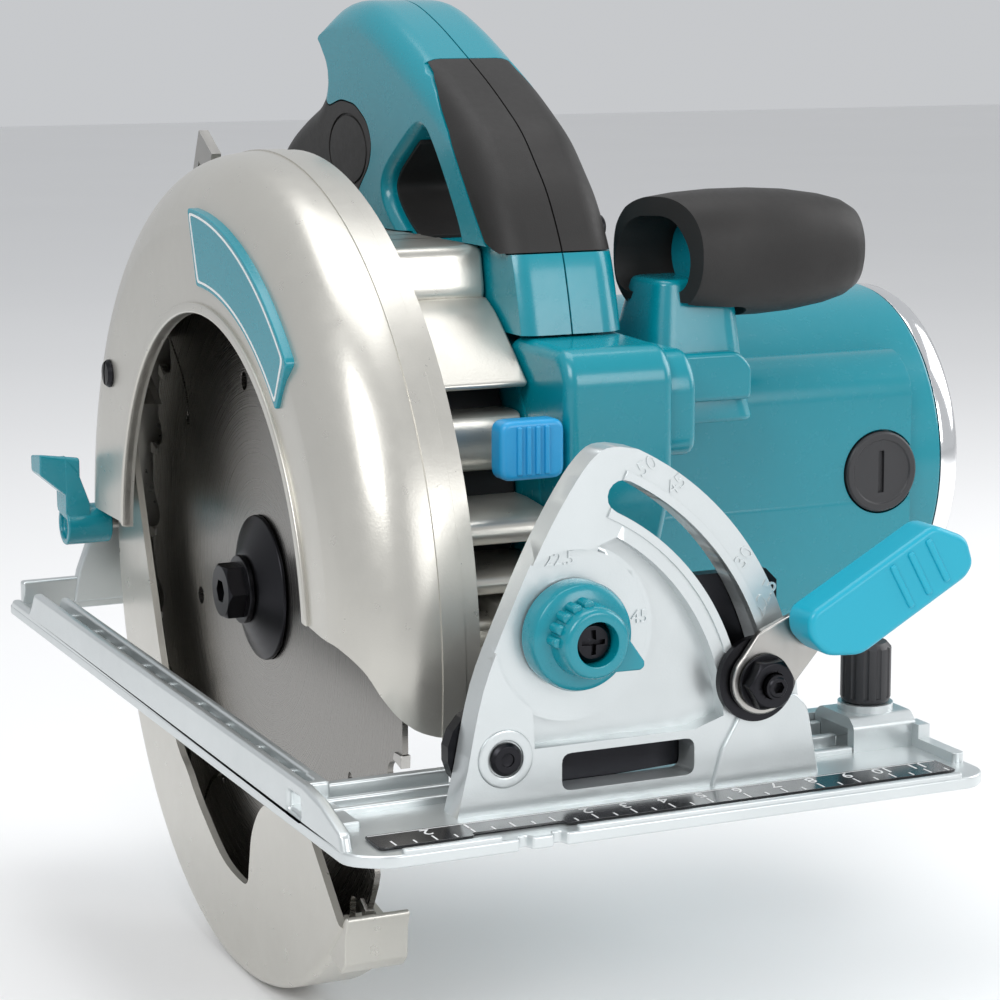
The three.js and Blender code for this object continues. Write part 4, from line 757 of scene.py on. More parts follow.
class SAW_OT_guards(Maker, bpy.types.Operator):
    """Upper guard with its lip, badge and screw, and the lower guard"""
    bl_idname = "saw.guards"
    bl_label = "Guards"

    def execute(self, context):
        left, right, r = edge("guard_badge", 1, 0) + 0.35, edge("upper_guard", 1, 0), GUARD_R
        window = (AY - 8.3, AZ + 0.8)
        outer = [(62, left), (r - 24, left), *smooth([
            (r - 20, left + 0.2), (r - 13, left + 2), (r - 7, left + 5.6), (r - 3, left + 10.2),
            (r - 1, left + 15), (r - 0.2, left + 20), (r, left + 24)], 5), (r, right)]
        inner = [(r - 2.6, right), *[(a - 2.6, min(b + 2.2, right)) for a, b in reversed(outer[2:-1])],
                 (r - 24, left + 2.6), (62, left + 2.6)]
        shell = turned("upper_guard_shell", outer + inner, "x", (0, AY, AZ), 192)
        wall = tube("wall", "x", (0, AY, AZ), 30, r - 1, right - 2.6, right - 0.01, 128)
        lip = tube("lip", "x", (0, *window), 77.5, 80.4, left - 1.1, left + 2.2, 160)
        mouth = smooth([(AY - r + 0.5, AZ - 19), (AY - r + 1.4, AZ - 13), (AY - r + 4.3, AZ - 5.3),
                        (AY - r + 8.3, AZ + 1.9), (AY - 105.3, AZ + 6.2), (AY - 94, AZ + 7.6),
                        (AY - 81, AZ + 9.5), (AY - 67, AZ + 14.4)], 5)
        low_left = [(AY - r - 9, AZ - 19)] + mouth + [(AY - 40, AZ - 20), (AY + 40, AZ - 20),
                                                      (AY + 70, AZ + 8),
                                                       (AY + r + 9, AZ + 8), (AY + r + 9, AZ - r - 9),
                                                       (AY - r - 9, AZ - r - 9)]
        bottom = lambda a, b: prism("bottom", low_left, "x", a, b)
        hole = rod("window", "x", (0, *window), 77.5, left - 3, left + 8, 160)
        keep = rod("hub", "x", (0, AY, AZ), 36, right - 4, right + 2, 64)
        cut(shell, hole, bottom(left - 2, right + 2))
        cut(wall, cut(bottom(right - 4, right + 2), keep))
        collar = tube("collar", "x", (0, AY, AZ), 30, 36, right - 2.6, right - 0.02, 96)
        cut(lip, bottom(left - 3, left + 6))
        band = tube("band", "x", (0, AY, AZ), r - 2, r + 0.35, left + 22, left + 28, 192)
        cut(band, bottom(left, right + 4))
        lug = prism("lug", [*arc(AY, AZ, LOWER_R + 0.8, -2, 15, 8), *arc(AY, AZ, r - 0.4, 15, 9, 3),
                            (OPEN_REAR - 1.6, AZ + 16), (OPEN_REAR - 1.6, DEPTH_BOLT.z - 4.7)], "x",
                            right - 11, right)
        parts = [rounded(shell, 0.5, 2, 40), rounded(wall, 0.4, 2), rounded(lip, 0.7, 3),
                 rounded(band, 0.12, 2), rounded(lug, 0.8), rounded(collar, 0.3, 2)]
        put(gather("upper_guard_casting", *parts), "head", "cast_warm", "upper_guard")
        badge_line = [*arc(AY, AZ, r - 14.5, 91, 137, 24), *arc(*window, 85, 136, 90, 24)]
        badge = prism("badge", rounded_outline(badge_line, 2.5), "x", left - 1.1, left + 2.4)
        put(rounded(badge, 0.5, 3), "head", "teal_plastic", "guard_badge")
        rim_line = rounded_outline([*arc(AY, AZ, r - 15.6, 92, 136, 24), *arc(*window, 86.2, 135, 91, 24)],
                                   2)
        inset = rounded_outline([*arc(AY, AZ, r - 16.2, 92.5, 135.5, 24),
                                 *arc(*window, 86.8, 134.5, 91.5, 24)], 1.8)
        line = cut(prism("badge_line", rim_line, "x", left - 1.25, left - 0.9),
                   prism("inner", inset, "x", left - 2, left))
        put(rounded(line, 0, 1), "head", "print", slot="teal_plastic")
        screw = turned("guard_screw", [(0, left + 1), (4.2, left + 1), (4.2, left - 0.6), (3.4, left - 1.6),
                                       (0, left - 1.9)],
                       "x", (0, AY + 80, AZ + 52), 32)
        put(rounded(cut(screw, box("slot", left - 3, left - 1, AY + 79.4, AY + 80.6, AZ + 48, AZ + 56)),
                    0.2, 2),
            "head", "dark_steel")
        self.lower_guard()
        return {"FINISHED"}

    def lower_guard(self):
        left, right, r = edge("lower_guard", 0, 0), edge("lower_guard", 1, 0), LOWER_R
        profile = [(48, left), (r - 4, left), *arc(r - 3, left + 3, 3, -90, 0, 5)[1:], (r, right - 0.6),
                   (r - 0.6, right), (r - 2, right), (r - 2, left + 3), (r - 3.4, left + 2), (48, left + 2)]
        shell = turned("shell", profile, "x", (0, AY, AZ), 192)
        wall = tube("wall", "x", (0, AY, AZ), 21.4, r - 1, right - 2, right, 128)
        upper = lambda: prism("upper", [(AY, AZ), *arc(AY, AZ, r + 60, 34, 222, 24)], "x", left - 2,
                              right + 2)
        crescent = [*smooth([
            (AY + 96, AZ + 40), (AY + 62, AZ - 44), (AY + 42, AZ - 64), (AY + 27, AZ - 74),
            (AY + 12, AZ - 81), (AY - 2, AZ - 83), (AY - 9, AZ - 82), (AY - 11, AZ - 76),
            (AY - 14, AZ - 66), (AY - 22, AZ - 57), (AY - 34, AZ - 52), (AY - 46, AZ - 49),
            (AY - 60, AZ - 44), (AY - 78, AZ - 30)], 5), (AY - 60, AZ + 60)]
        cut(shell, upper(), prism("crescent", crescent, "x", left - 2, left + 6))
        cut(wall, upper(), prism("side",
                                 [(AY - 120, AZ - 22), (AY - 18, AZ - 22), (AY - 30, AZ - 70),
                                  (AY - 74, AZ - 78),
                                         (AY - 120, AZ - 50)], "x", right - 4, right + 2))
        mouth = math.radians(-138)
        away = lambda radius, shift: (AY + radius * math.cos(mouth + math.radians(shift)),
                                      AZ + radius * math.sin(mouth + math.radians(shift)))
        lip = prism("lip", [away(r - 2, -2), away(r - 2, 8), away(r + 2, 7), away(r + 6.5, 5.6),
                            away(r + 6.5, 3.4), away(r + 1, 0), away(r - 0.5, -2)], "x", left + 1, right)
        cross = prism("cross", [away(r - 2.2, 8), away(r - 12, 9), away(r - 13, 11), away(r - 2.2, 12)],
                      "x", left + 1, right)
        put(gather("lower_guard_shell", rounded(shell, 0.5, 2, 40), rounded(wall, 0.5, 2),
                   rounded(lip, 0.6, 2), rounded(cross, 0.5, 2)), "lower_guard_body", "cast_warm",
                   "lower_guard")


class SAW_OT_blade(Maker, bpy.types.Operator):
    """Blade with gullets, expansion slots and carbide tips, its flange and its bolt"""
    bl_idname = "saw.blade"
    bl_label = "Blade"

    def execute(self, context):
        teeth, r = self.sizes.teeth, BLADE_R
        pitch = 360 / teeth
        at = lambda radius, degrees: (AY + radius * math.cos(math.radians(degrees)),
                                      AZ + radius * math.sin(math.radians(degrees)))
        outline = []
        for i in range(teeth):
            a = i * pitch
            outline += [at(r - 1, a)] + smooth([
                at(r - 5, a + 0.3), at(r - 8.2, a + 1.6), at(r - 8.8, a + 3.3), at(r - 6.4, a + 4.9),
                at(r - 3.4, a + 6.3)], 3) + [at(r - 2.4, a + 8.2), at(r - 0.9, a + pitch - 2.2)]
        plate = prism("blade_plate", outline, "x", -0.8, 0.8)
        slots = []
        for i in range(4):
            a = 90 * i + 37
            line = smooth([at(r - 4, a), at(r - 18, a - 0.6), at(r - 26, a - 3.2), at(r - 29, a - 6.4)], 5)
            side = smooth([at(r - 29.6, a - 6.0), at(r - 26.8, a - 2.4), at(r - 18.2, a + 0.1),
                           at(r - 4, a + 0.7)], 5)
            slots.append(prism("slot", line + side, "x", -2, 2))
            slots.append(rod("slot_end", "x", (0, *at(r - 29.4, a - 6.3)), 1.5, -2, 2, 16))
            slots.append(rod("hole", "x", (0, *at(58, a + 40)), 2.6, -2, 2, 24))
        cut(plate, *slots, rod("bore", "x", (0, AY, AZ), 15, -3, 3, 64))
        put(rounded(plate, 0.12, 1, 60), "spindle_body", "blade", "saw_blade", slot="steel")
        tips = []
        for i in range(teeth):
            a = i * pitch
            tips.append(prism("tip", [at(r - 5.4, a - 0.05), at(r, a - 0.05), at(r - 0.5, a - 1.9),
                                      at(r - 5.0, a - 1.3)],
                              "x", -1.3, 1.3))
        put(rounded(gather("carbide_tips", *tips), 0.1, 1), "spindle_body", "steel")
        place = (0, AY, AZ)
        flange = turned("outer_flange_disc", [
            (4.4, -6.4), (9.6, -6.4), (11.4, -5.9), (18.6, -2.9), (20.2, -2.3), (20.4, -1.3), (4.4, -1.3)],
            "x", place, 96)
        put(rounded(flange, 0.25, 2), "spindle_body", "dark_steel", "outer_flange")
        washer = rod("washer", "x", place, 9.6, -8.2, -6.5, 64)
        head = within(prism("head", hexagon(AY, AZ, 8.2), "x", -13.5, -8),
                      turned("cone", [(0, -13.5), (7, -13.5), (8.6, -12.4), (8.6, -7), (0, -7)], "x", place,
                             64))
        cut(head, prism("socket", hexagon(AY, AZ, 3.4), "x", -15, -10))
        shank = rod("shank", "x", place, 4, -7, 12, 32)
        put(gather("blade_bolt_head", rounded(washer, 0.4, 2), rounded(head, 0.35, 2), shank),
            "spindle_body", "dark_steel", "blade_bolt")
        return {"FINISHED"}


class SAW_OT_gear_case(Maker, bpy.types.Operator):
    """Finned gear case between the guard and the motor"""
    bl_idname = "saw.gear_case"
    bl_label = "Gear case"

    def execute(self, context):
        left, right = edge("gear_housing", 0, 0), edge("gear_housing", 1, 0)
        core_line = smooth([(AY - 62, 30), (AY - 78, 56), (AY - 70, 86), (AY - 56, 104), (AY - 52, 116)],
                           5) + [
            (AY - 50, 123.5), (AY + 48, 123.5)] + smooth([(AY + 52, 112), (AY + 56, 62), (AY + 40, 18)],
                                                         5) + [
            (AY + 26, 6), (AY + 12, 1.6), (AY - 12, 1.6), (AY - 28, 8)]
        core = cut(prism("gear_core", core_line, "x", left + 0.4, right - 0.4),
                   prism("inside", [(AY - 40, 10), (AY + 40, 10), (AY + 44, 110), (AY - 40, 110)], "x",
                         left + 6, right + 2))
        # the gear core is cast warm metal but takes the near-black finish: painted shade between the louvres
        put(rounded(core, 1.2, 3), "head", "shadow", slot="cast_warm")
        top = rounded_outline([(AY - 59, 113), (AY - 56.5, 126), (AY + 52, 126), (AY + 60, 112),
                               (AY + 60, 104), (AY - 52, 104)], 3)
        curve = smooth([(AY - 59.5, 112.6), (AY - 66, 109), (AY - 76, 101), (AY - 85, 93.2)], 6)
        shoulder = curve + [(AY - 84, 92), (AY - 70, 92.4), (AY - 52, 101), (AY - 50, 113)]
        louvres = [
            shoulder,
            smooth([(AY - 76, 85.4), (AY - 79.8, 84.6), (AY - 81, 80), (AY - 80.6, 73), (AY - 79, 70.4)],
                   4) + [
                (AY - 50, 69.6), (AY - 50, 85.2)],
            smooth([(AY - 84, 63.8), (AY - 99, 62), (AY - 102.4, 58.6), (AY - 101.6, 55.6)], 4) + [
                (AY - 70, 54.4), (AY - 50, 54.4), (AY - 50, 64)],
            smooth([(AY - 84, 48.8), (AY - 98, 48.4), (AY - 102.4, 46), (AY - 101.8, 43)], 4) + [
                (AY - 70, 42), (AY - 50, 41.6), (AY - 50, 49)],
            smooth([(AY - 84, 37.6), (AY - 97, 37.4), (AY - 101, 34.4), (AY - 97, 29.4), (AY - 86, 25)],
                   4) + [
                (AY - 50, 25), (AY - 50, 37.4)],
        ]
        parts = [rounded(prism("top", top, "x", left, right), 1.4, 4, 30)]
        for i, line in enumerate(louvres):
            parts.append(rounded(prism(f"louvre_{i}", line, "x", left, right), 0.9, 4, 38))
        low = rounded_outline([(AY - 50, 20), (AY - 30, 8), (AY - 18, 1.4), (AY + 18, 1.4), (AY + 30, 8),
                               (AY + 44, 16), (AY + 60, 62), (AY + 60, 108), (AY + 50, 108), (AY + 34, 20),
                               (AY, 6), (AY - 42, 30)], 3)
        parts.append(rounded(prism("low", low, "x", left, right), 1.2, 3))
        tub = tube("tub", "x", (0, AY, AZ), 25.2, 27.6, left, right, 96)
        face = tube("face", "x", (0, AY, AZ), 16.4, 27, left, left + 3, 96)
        parts += [rounded(tub, 0.5, 2), rounded(face, 0.4, 2)]
        pin = centre("depth_pivot_pin")
        arm = [(AY - 84, pin.z - 9), (AY - 50, pin.z - 12), (AY - 50, pin.z + 12), (AY - 84, pin.z + 12),
               *arc(pin.y, pin.z, 8.5, 80, 280, 20)]
        parts.append(rounded(cut(prism("arm", arm, "x", 24, 38),
                                 rod("eye", "x", (0, pin.y, pin.z), 4.35, 20, 42, 40)), 1.2))
        ribs = [rounded(box("rib", left + 0.2, right - 0.2, AY - 30 + i * 14, AY - 28.2 + i * 14, 124, 126),
                        0.4, 2)
                for i in range(5)]
        put(gather("gear_case_casting", *parts, *ribs), "head", "cast_warm", "gear_housing")
        return {"FINISHED"}


class SAW_OT_motor(Maker, bpy.types.Operator):
    """Motor housing with its neck, panel and grip stem, the end cap and the brush caps"""
    bl_idname = "saw.motor"
    bl_label = "Motor"

    def execute(self, context):
        r = MOTOR_R
        end = edge("end_cap", 1, 0) - 8
        place = (0, MY, MZ)
        barrel = turned("barrel", [(44, 62), (r - 1, 62), (r - 0.4, 90), (r, 130), (r, end - 1),
                                   (r - 0.5, end), (44.6, end), (44.6, 62)], "x", place, 128)
        flat_neck = rounded_outline([
            (AY - 66, 30), (AY - 92, 52), (AY - 92, 66), (AY - 80, 90), (AY - 66, 102), (AY - 48, 112),
            (AY - 42, 121), (AY + 40, 121), (AY + 60, 104), (AY + 58, 62), (AY + 44, 20), (AY + 26, 10),
            (AY - 26, 10), (AY - 46, 18)],
            6, 6)
        neck = prism("neck", flat_neck, "x", SEAM_X, 72)
        cut(neck, rod("hollow", "x", place, 44, 36, 80, 96))
        block = prism("block", rounded_outline([
            (AY - 98, 46), (AY - 106, 66), (AY - 106, 97), (AY - 101.5, 103), (AY - 70, 104), (AY - 60, 80),
            (AY - 60, 46)], 6, 6), "x", SEAM_X + 0.2, 73)
        hood = prism("hood", rounded_outline([
            (AY - 103, 74), (AY - 103, 94), (AY - 98, 101), (AY - 60, 101), (AY - 60, 74)], 5, 6), "x", 70,
            81)
        panel = prism("panel", rounded_outline([
            (AY - r - 2.4, 32), (AY - r - 2.4, 82), (AY - 42, 90), (AY - 22, 88), (AY - 30, 24),
            (AY - 44, 22)], 5, 6),
            "x", 66, end - 12)
        band = prism("band", rounded_outline([
            (AY - r + 1, 16), (AY - r - 2.6, 26), (AY - r - 2.6, 50), (AY - r + 4, 52), (AY - 24, 40),
            (AY - 24, 12), (AY - 38, 10)], 5, 6), "x", 66, end - 12)
        seam = box("seam", 60, end + 4, AY - r - 4, AY - r + 1.0, 50.2, 50.8)
        cut(band, seam)
        stem = loft("stem", [
            rounded_outline(rectangle(80, 113, 74, 128), 6, 5),
            rounded_outline(rectangle(82, 111, 75, 124), 6, 5),
            rounded_outline(rectangle(84, 110, 78, 104), 6, 5),
            rounded_outline(rectangle(86, 109, 80, 100), 5, 5)],
            "z", [78, 86, 104, 116])
        step = prism("step", rounded_outline([(84, 84), (110, 84), (110, 93), (106, 97), (88, 97),
                                              (84, 93)], 2, 4), "y",
                     72.6, 90)
        parts = [rounded(barrel, 0.6, 3), rounded(neck, 2.6, 5), rounded(block, 3.4, 6),
                 rounded(hood, 2.6, 5), rounded(stem, 1.6, 4), rounded(step, 1.4, 4)]
        caps = [rod("cap_well", "y", (168, 0, MZ), 12.1, 90, 104, 64) for _ in range(2)]
        cut(panel, caps[0])
        cut(band, caps[1])
        parts += [rounded(panel, 2.4, 5), rounded(band, 2.4, 5)]
        put(gather("motor_casing", *parts), "head", "teal_plastic", "motor_housing")
        self.end_cap(r, end)
        self.brush_caps()
        return {"FINISHED"}

    @staticmethod
    def end_cap(r, end):
        cap = turned("end_cap_shell", [
            (0, end + 0.3), (r - 0.5, end + 0.3), (r - 0.3, end + 1.4), (r - 0.6, end + 4.6),
            (r - 1.6, end + 6.4), (r - 3.4, end + 7.5), (r - 6, end + 8), (36, end + 8), (34, end + 6.8),
            (0, end + 6.6)], "x", (0, MY, MZ), 128)
        for i in range(12):
            a = math.radians(30 * i)
            y, z = MY + 24 * math.cos(a), MZ + 24 * math.sin(a)
            cut(cap, rod("vent", "x", (0, y, z), 2.6, end + 4, end + 12, 20))
        put(rounded(cap, 0.3, 2), "head", "polished", "end_cap")
        for i, (sy, sz) in enumerate(((-1, -1), (1, -1), (1, 1), (-1, 1))):
            at = (0, MY + sy * 29, MZ + sz * 29)
            head = turned("screw", [(0, end + 6), (3.4, end + 6), (3.4, end + 7.3), (2.8, end + 7.9),
                                    (0, end + 7.9)],
                          "x", at, 32)
            cut(head, box("slot", end + 7, end + 9, at[1] - 2, at[1] + 2, at[2] - 0.4, at[2] + 0.4),
                box("slot", end + 7, end + 9, at[1] - 0.4, at[1] + 0.4, at[2] - 2, at[2] + 2))
            put(rounded(head, 0.15, 2), "head", "dark_steel").name = f"end_cap_screw_{i + 1}"

    @staticmethod
    def brush_caps():
        for name, side in (("front", -1), ("rear", 1)):
            at = (centre("brush_cap_front").x, MY, MZ)
            face = side * 52
            cap = turned(f"brush_cap_{name}_disc", [
                (0, face - side * 16), (7.6, face - side * 16), (7.6, face - side * 2),
                (11.6, face - side * 2), (11.6, face - side * 0.6), (11, face), (9.4, face),
                (9, face - side * 0.5), (0, face - side * 0.5)],
                "y", at, 64)
            low, high = sorted((MY + face - side * 1.6, MY + face + side))
            cut(cap, box("slot", at[0] - 0.9, at[0] + 0.9, low, high, MZ - 6, MZ + 6))
            put(rounded(cap, 0.2, 2), "head", "black_plastic", f"brush_cap_{name}")


class SAW_OT_handle(Maker, bpy.types.Operator):
    """Loop handle in two halves, its soft grip and rear pads, loop liner, trigger and screws"""
    bl_idname = "saw.handle"
    bl_label = "Handle"

    OUTER = [(-74.5, 126), (-66.5, 138.8), (-58.5, 147.2), (-50.5, 154.5), (-42, 159.9), (-28.5, 167.3),
             (-12.5, 174.9), (5, 182.6), (21, 188), (33, 189.4), (44, 188.2), (54, 184.2), (58.6, 179),
             (56.6, 173.4), (54, 167), (60, 161), (74, 155.6), (88, 149), (100, 139), (108, 127)]
    LOOP = [(-48, 125), (-44.5, 131), (-37, 140.5), (-27.5, 151), (-22, 154.6), (-16, 153.6), (-6, 148),
            (3, 142), (5.6, 137), (1, 131.4), (-8, 126), (-18, 122.6), (-36, 120.6)]
    GRIP = [(-100, 127.2), (-70.4, 124.8), (-64, 127.4), (-55.5, 136.7), (-48.8, 144.6), (-39.8, 155),
            (-27.6, 165.2), (-20.6, 170), (-15.6, 172.6), (-20, 195), (-100, 195)]
    REAR = [(48.5, 158.7), (38, 161), (27, 159.9), (18, 155.4), (14.5, 149.5), (16.5, 143.6), (26.4, 135),
            (21.3, 129.6), (2.7, 123.9), (2.7, 118), (120, 118), (120, 150), (64, 172), (52, 162.6)]

    @staticmethod
    def inset(points, depth):
        """The outline moved inwards by depth, less where it turns tightly; a negative depth moves it out."""
        count = len(points)
        spots = [Vector(point) for point in points]
        area = sum(a.cross(b) for a, b in zip(spots, spots[1:] + spots[:1]))
        reach = []
        for i in range(count):
            before, after = spots[i] - spots[i - 2], spots[(i + 2) % count] - spots[i]
            turn = before.cross(after) * math.copysign(1, area * depth)
            bend = before.length * after.length * (before + after).length / max(2 * turn, 1e-6)
            reach.append(min(abs(depth), 0.7 * bend if turn > 0 else abs(depth)))
        low = [min(reach[(i + k) % count] for k in range(-5, 6)) for i in range(count)]
        even = [sum(low[(i + k) % count] for k in range(-5, 6)) / 11 for i in range(count)]
        moved = []
        for i in range(count):
            along = (spots[(i + 1) % count] - spots[i - 1]).normalized()
            side = Vector((-along.y, along.x)) * math.copysign(even[i], depth * area)
            moved.append(tuple(spots[i] + side))
        return moved

    def domed(self, name, line, radius, half, steps=8):
        """A slab about the handle's middle with its rims rounded by radius, or flared if it is negative."""
        turns = [math.radians(90 * k / steps) for k in range(steps + 1)]
        outlines = [self.inset(line, radius * (1 - math.sin(t))) for t in turns]
        reach = [half - abs(radius) * (1 - math.cos(t)) for t in turns]
        left = [HANDLE_X - x for x in reach]
        right = [HANDLE_X + x for x in reversed(reach)]
        return loft(name, outlines + outlines[::-1], "x", left + right)

    def solid(self, name):
        line = smooth([(AY - 84, 90), (AY - 81, 104.4), (AY - 78, 116),
                       *[(AY + a, b) for a, b in self.OUTER], (AY + 108, 112), (AY + 100, 90)], 5)
        slab = self.domed(name, line, 8.5, HALF_HANDLE)
        return cut(slab, box("below", 0, 120, 0, 400, 60, 104.4))

    def execute(self, context):
        seam = self.sizes.seam / MM
        loop_line = smooth([(AY + a, b) for a, b in [*self.LOOP, self.LOOP[0]]], 4)[:-1]
        loop = lambda: self.domed("loop", loop_line, -4, HALF_HANDLE + 0.4)
        zone = lambda grow: prism("zone", [(AY + a + grow, b - grow) for a, b in self.GRIP], "x", 0, 120)
        rear_line = rounded_outline([(AY + a, b) for a, b in self.REAR], 3, 4)
        rear = lambda grow: prism("rear", self.inset(rear_line, -grow), "x", 0, 120)
        under = lambda: box("under", 0, SEAM_X, 0, 400, 0, 126.3)
        body = cut(self.solid("handle"), loop(), under(), zone(seam), rear(seam))
        grip = within(self.solid("grip"), zone(0))
        cut(grip, loop())
        pads = cut(within(self.solid("pads"), rear(0)), under(), loop())
        oval = [(AY + 33 + 15 * math.cos(t), 147 + 10.5 * math.sin(t))
                for t in (2 * math.pi * i / 64 for i in range(64))]
        groove = cut(prism("groove", oval, "x", 0, 120),
                     prism("middle", self.inset(oval, 0.8), "x", -5, 130),
                     box("core", HANDLE_X - HALF_HANDLE + 0.7, HANDLE_X + HALF_HANDLE - 0.7, 0, 400, 0,
                         300))
        cut(pads, groove)
        for side, low, high in (("left", -50, HANDLE_X - seam / 2), ("right", HANDLE_X + seam / 2, 200)):
            half = lambda: box("half", low, high, -100, 400, 0, 300)
            shell = within(copy(body, f"handle_{side}_shell"), half())
            right_side = [put(rounded(shell, 0.5, 3, 40), "head", "teal_plastic", f"handle_{side}")]
            soft = within(copy(grip, f"grip_{side}_soft"), half())
            right_side.append(put(rounded(soft, 0.5, 3, 40), "head", "rubber", f"grip_rubber_{side}"))
            pad = within(copy(pads, f"rear_pad_{side}_soft"), half())
            right_side.append(put(rounded(pad, 0.5, 3, 40), "head", "rubber", f"rear_pad_{side}"))
        bpy.data.objects.remove(body)
        bpy.data.objects.remove(grip)
        bpy.data.objects.remove(pads)
        liner = cut(prism("loop_liner", self.inset(loop_line, -0.05), "x", HANDLE_X - 13, HANDLE_X + 13),
                    prism("inner", self.inset(loop_line, 1), "x", 0, 120),
                    box("front", 0, 120, 0, AY - 12, 0, 300))
        put(rounded(liner, 0.3, 2), "head", "rubber")
        self.trigger()
        self.screws(right_side)
        return {"FINISHED"}

    @staticmethod
    def screws(sides):
        """Sets each screw head just proud of the handle's right side."""
        bpy.context.view_layer.update()
        for node in ("handle_screw_1", "handle_screw_2"):
            at = centre(node)
            start = Vector((200, at.y, at.z)) * MM
            hits = [piece.ray_cast(start, Vector((-1, 0, 0))) for piece in sides]
            face = max(place.x for hit, place, *_ in hits if hit) / MM
            head = turned(f"{node}_head", [(0, face - 3), (3.2, face - 3), (3.2, face + 0.2),
                                           (2.7, face + 0.7), (0, face + 0.8)], "x", (0, at.y, at.z), 48)
            slot = box("slot", face + 0.1, face + 3, at.y - 2.2, at.y + 2.2, at.z - 0.4, at.z + 0.4)
            put(rounded(cut(head, slot), 0.15, 2), "head", "dark_steel", node)

    def trigger(self):
        low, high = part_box("trigger")[0] / MM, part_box("trigger")[1] / MM
        line = smooth([(low.y + 0.5, low.z + 4), (low.y + 3.4, low.z + 0.6), (low.y + 7.4, low.z + 0.6),
                       (low.y + 10, low.z + 4.4), (low.y + 14, low.z + 8.6), (high.y - 2.6, high.z - 9),
                       (high.y - 0.6, high.z - 4.6), (high.y - 2.6, high.z - 1),
                       (high.y - 6.6, high.z - 0.6)], 5)
        body = prism("trigger_lever", line, "x", HANDLE_X - 10, HANDLE_X + 10)
        put(rounded(body, 1.8, 4, 40), "trigger_body", "black_plastic", "trigger")


class SAW_OT_front_grip(Maker, bpy.types.Operator):
    """Soft front grip over its core"""
    bl_idname = "saw.front_grip"
    bl_label = "Front grip"

    def execute(self, context):
        gy, gz = centre("front_grip_rubber").y, centre("front_grip_rubber").z
        x0, x1 = edge("front_grip_rubber", 0, 0), edge("front_grip_rubber", 1, 0)
        stations = [(0, 0.80), (1.2, 0.86), (4, 0.905), (12, 0.965), (22, 1.0), (34, 1.0), (44, 0.965),
                    (54, 0.88), (60, 0.79), (63.4, 0.68), (65, 0.54)]
        section = lambda share: [(gy + 17 * share * (abs(math.cos(t)) ** 0.86) * math.copysign(1,
                                                                                               math.cos(t)),
                                  gz + 17 * share * (abs(math.sin(t)) ** 0.86) * math.copysign(1,
                                                                                               math.sin(t)))
                                 for t in (2 * math.pi * i / 64 for i in range(64))]
        barrel = loft("front_grip_soft", [section(s) for _, s in stations], "x",
                      [x0 + a for a, _ in stations])
        mouth = loft("mouth", [
            rounded_outline([(gy - 11.5, gz - 10.4), (gy + 11, gz - 10.4), (gy + 13.4, gz - 1),
                             (gy + 8, gz + 10.4), (gy - 7, gz + 11.2), (gy - 13.6, gz + 1)], 6, 6),
            rounded_outline([(gy - 10, gz - 9), (gy + 9.6, gz - 9), (gy + 12, gz - 1), (gy + 7, gz + 9),
                             (gy - 6, gz + 9.8), (gy - 12, gz + 1)], 6, 6)], "x", [x0 - 2, x0 + 22])
        oblique = box("oblique", -30, 0, -40, 40, -40, 40)
        oblique.matrix_world = (Matrix.Translation(Vector((x0, gy + 12, gz)) * MM)
                                @ Matrix.Rotation(math.radians(22), 4, "Z"))
        bpy.context.view_layer.update()
        cut(barrel, mouth, oblique)
        stem = prism("stem_way", rounded_outline(rectangle(84.6, 111.4, gy - 11.4, gy + 14), 4, 4), "z", 90,
                     110)
        cut(barrel, stem)
        put(rounded(barrel, 0.9, 4, 40), "head", "rubber", "front_grip_rubber")
        core = turned("front_grip_core",
                      [(0, x0 + 15), (9, x0 + 15), (11.4, x0 + 19), (12.4, x0 + 25), (12.4, x1 - 22),
                                          (0, x1 - 22)], "x", (0, gy, gz), 64)
        put(rounded(core, 0.5, 2), "head", "teal_plastic")
        return {"FINISHED"}


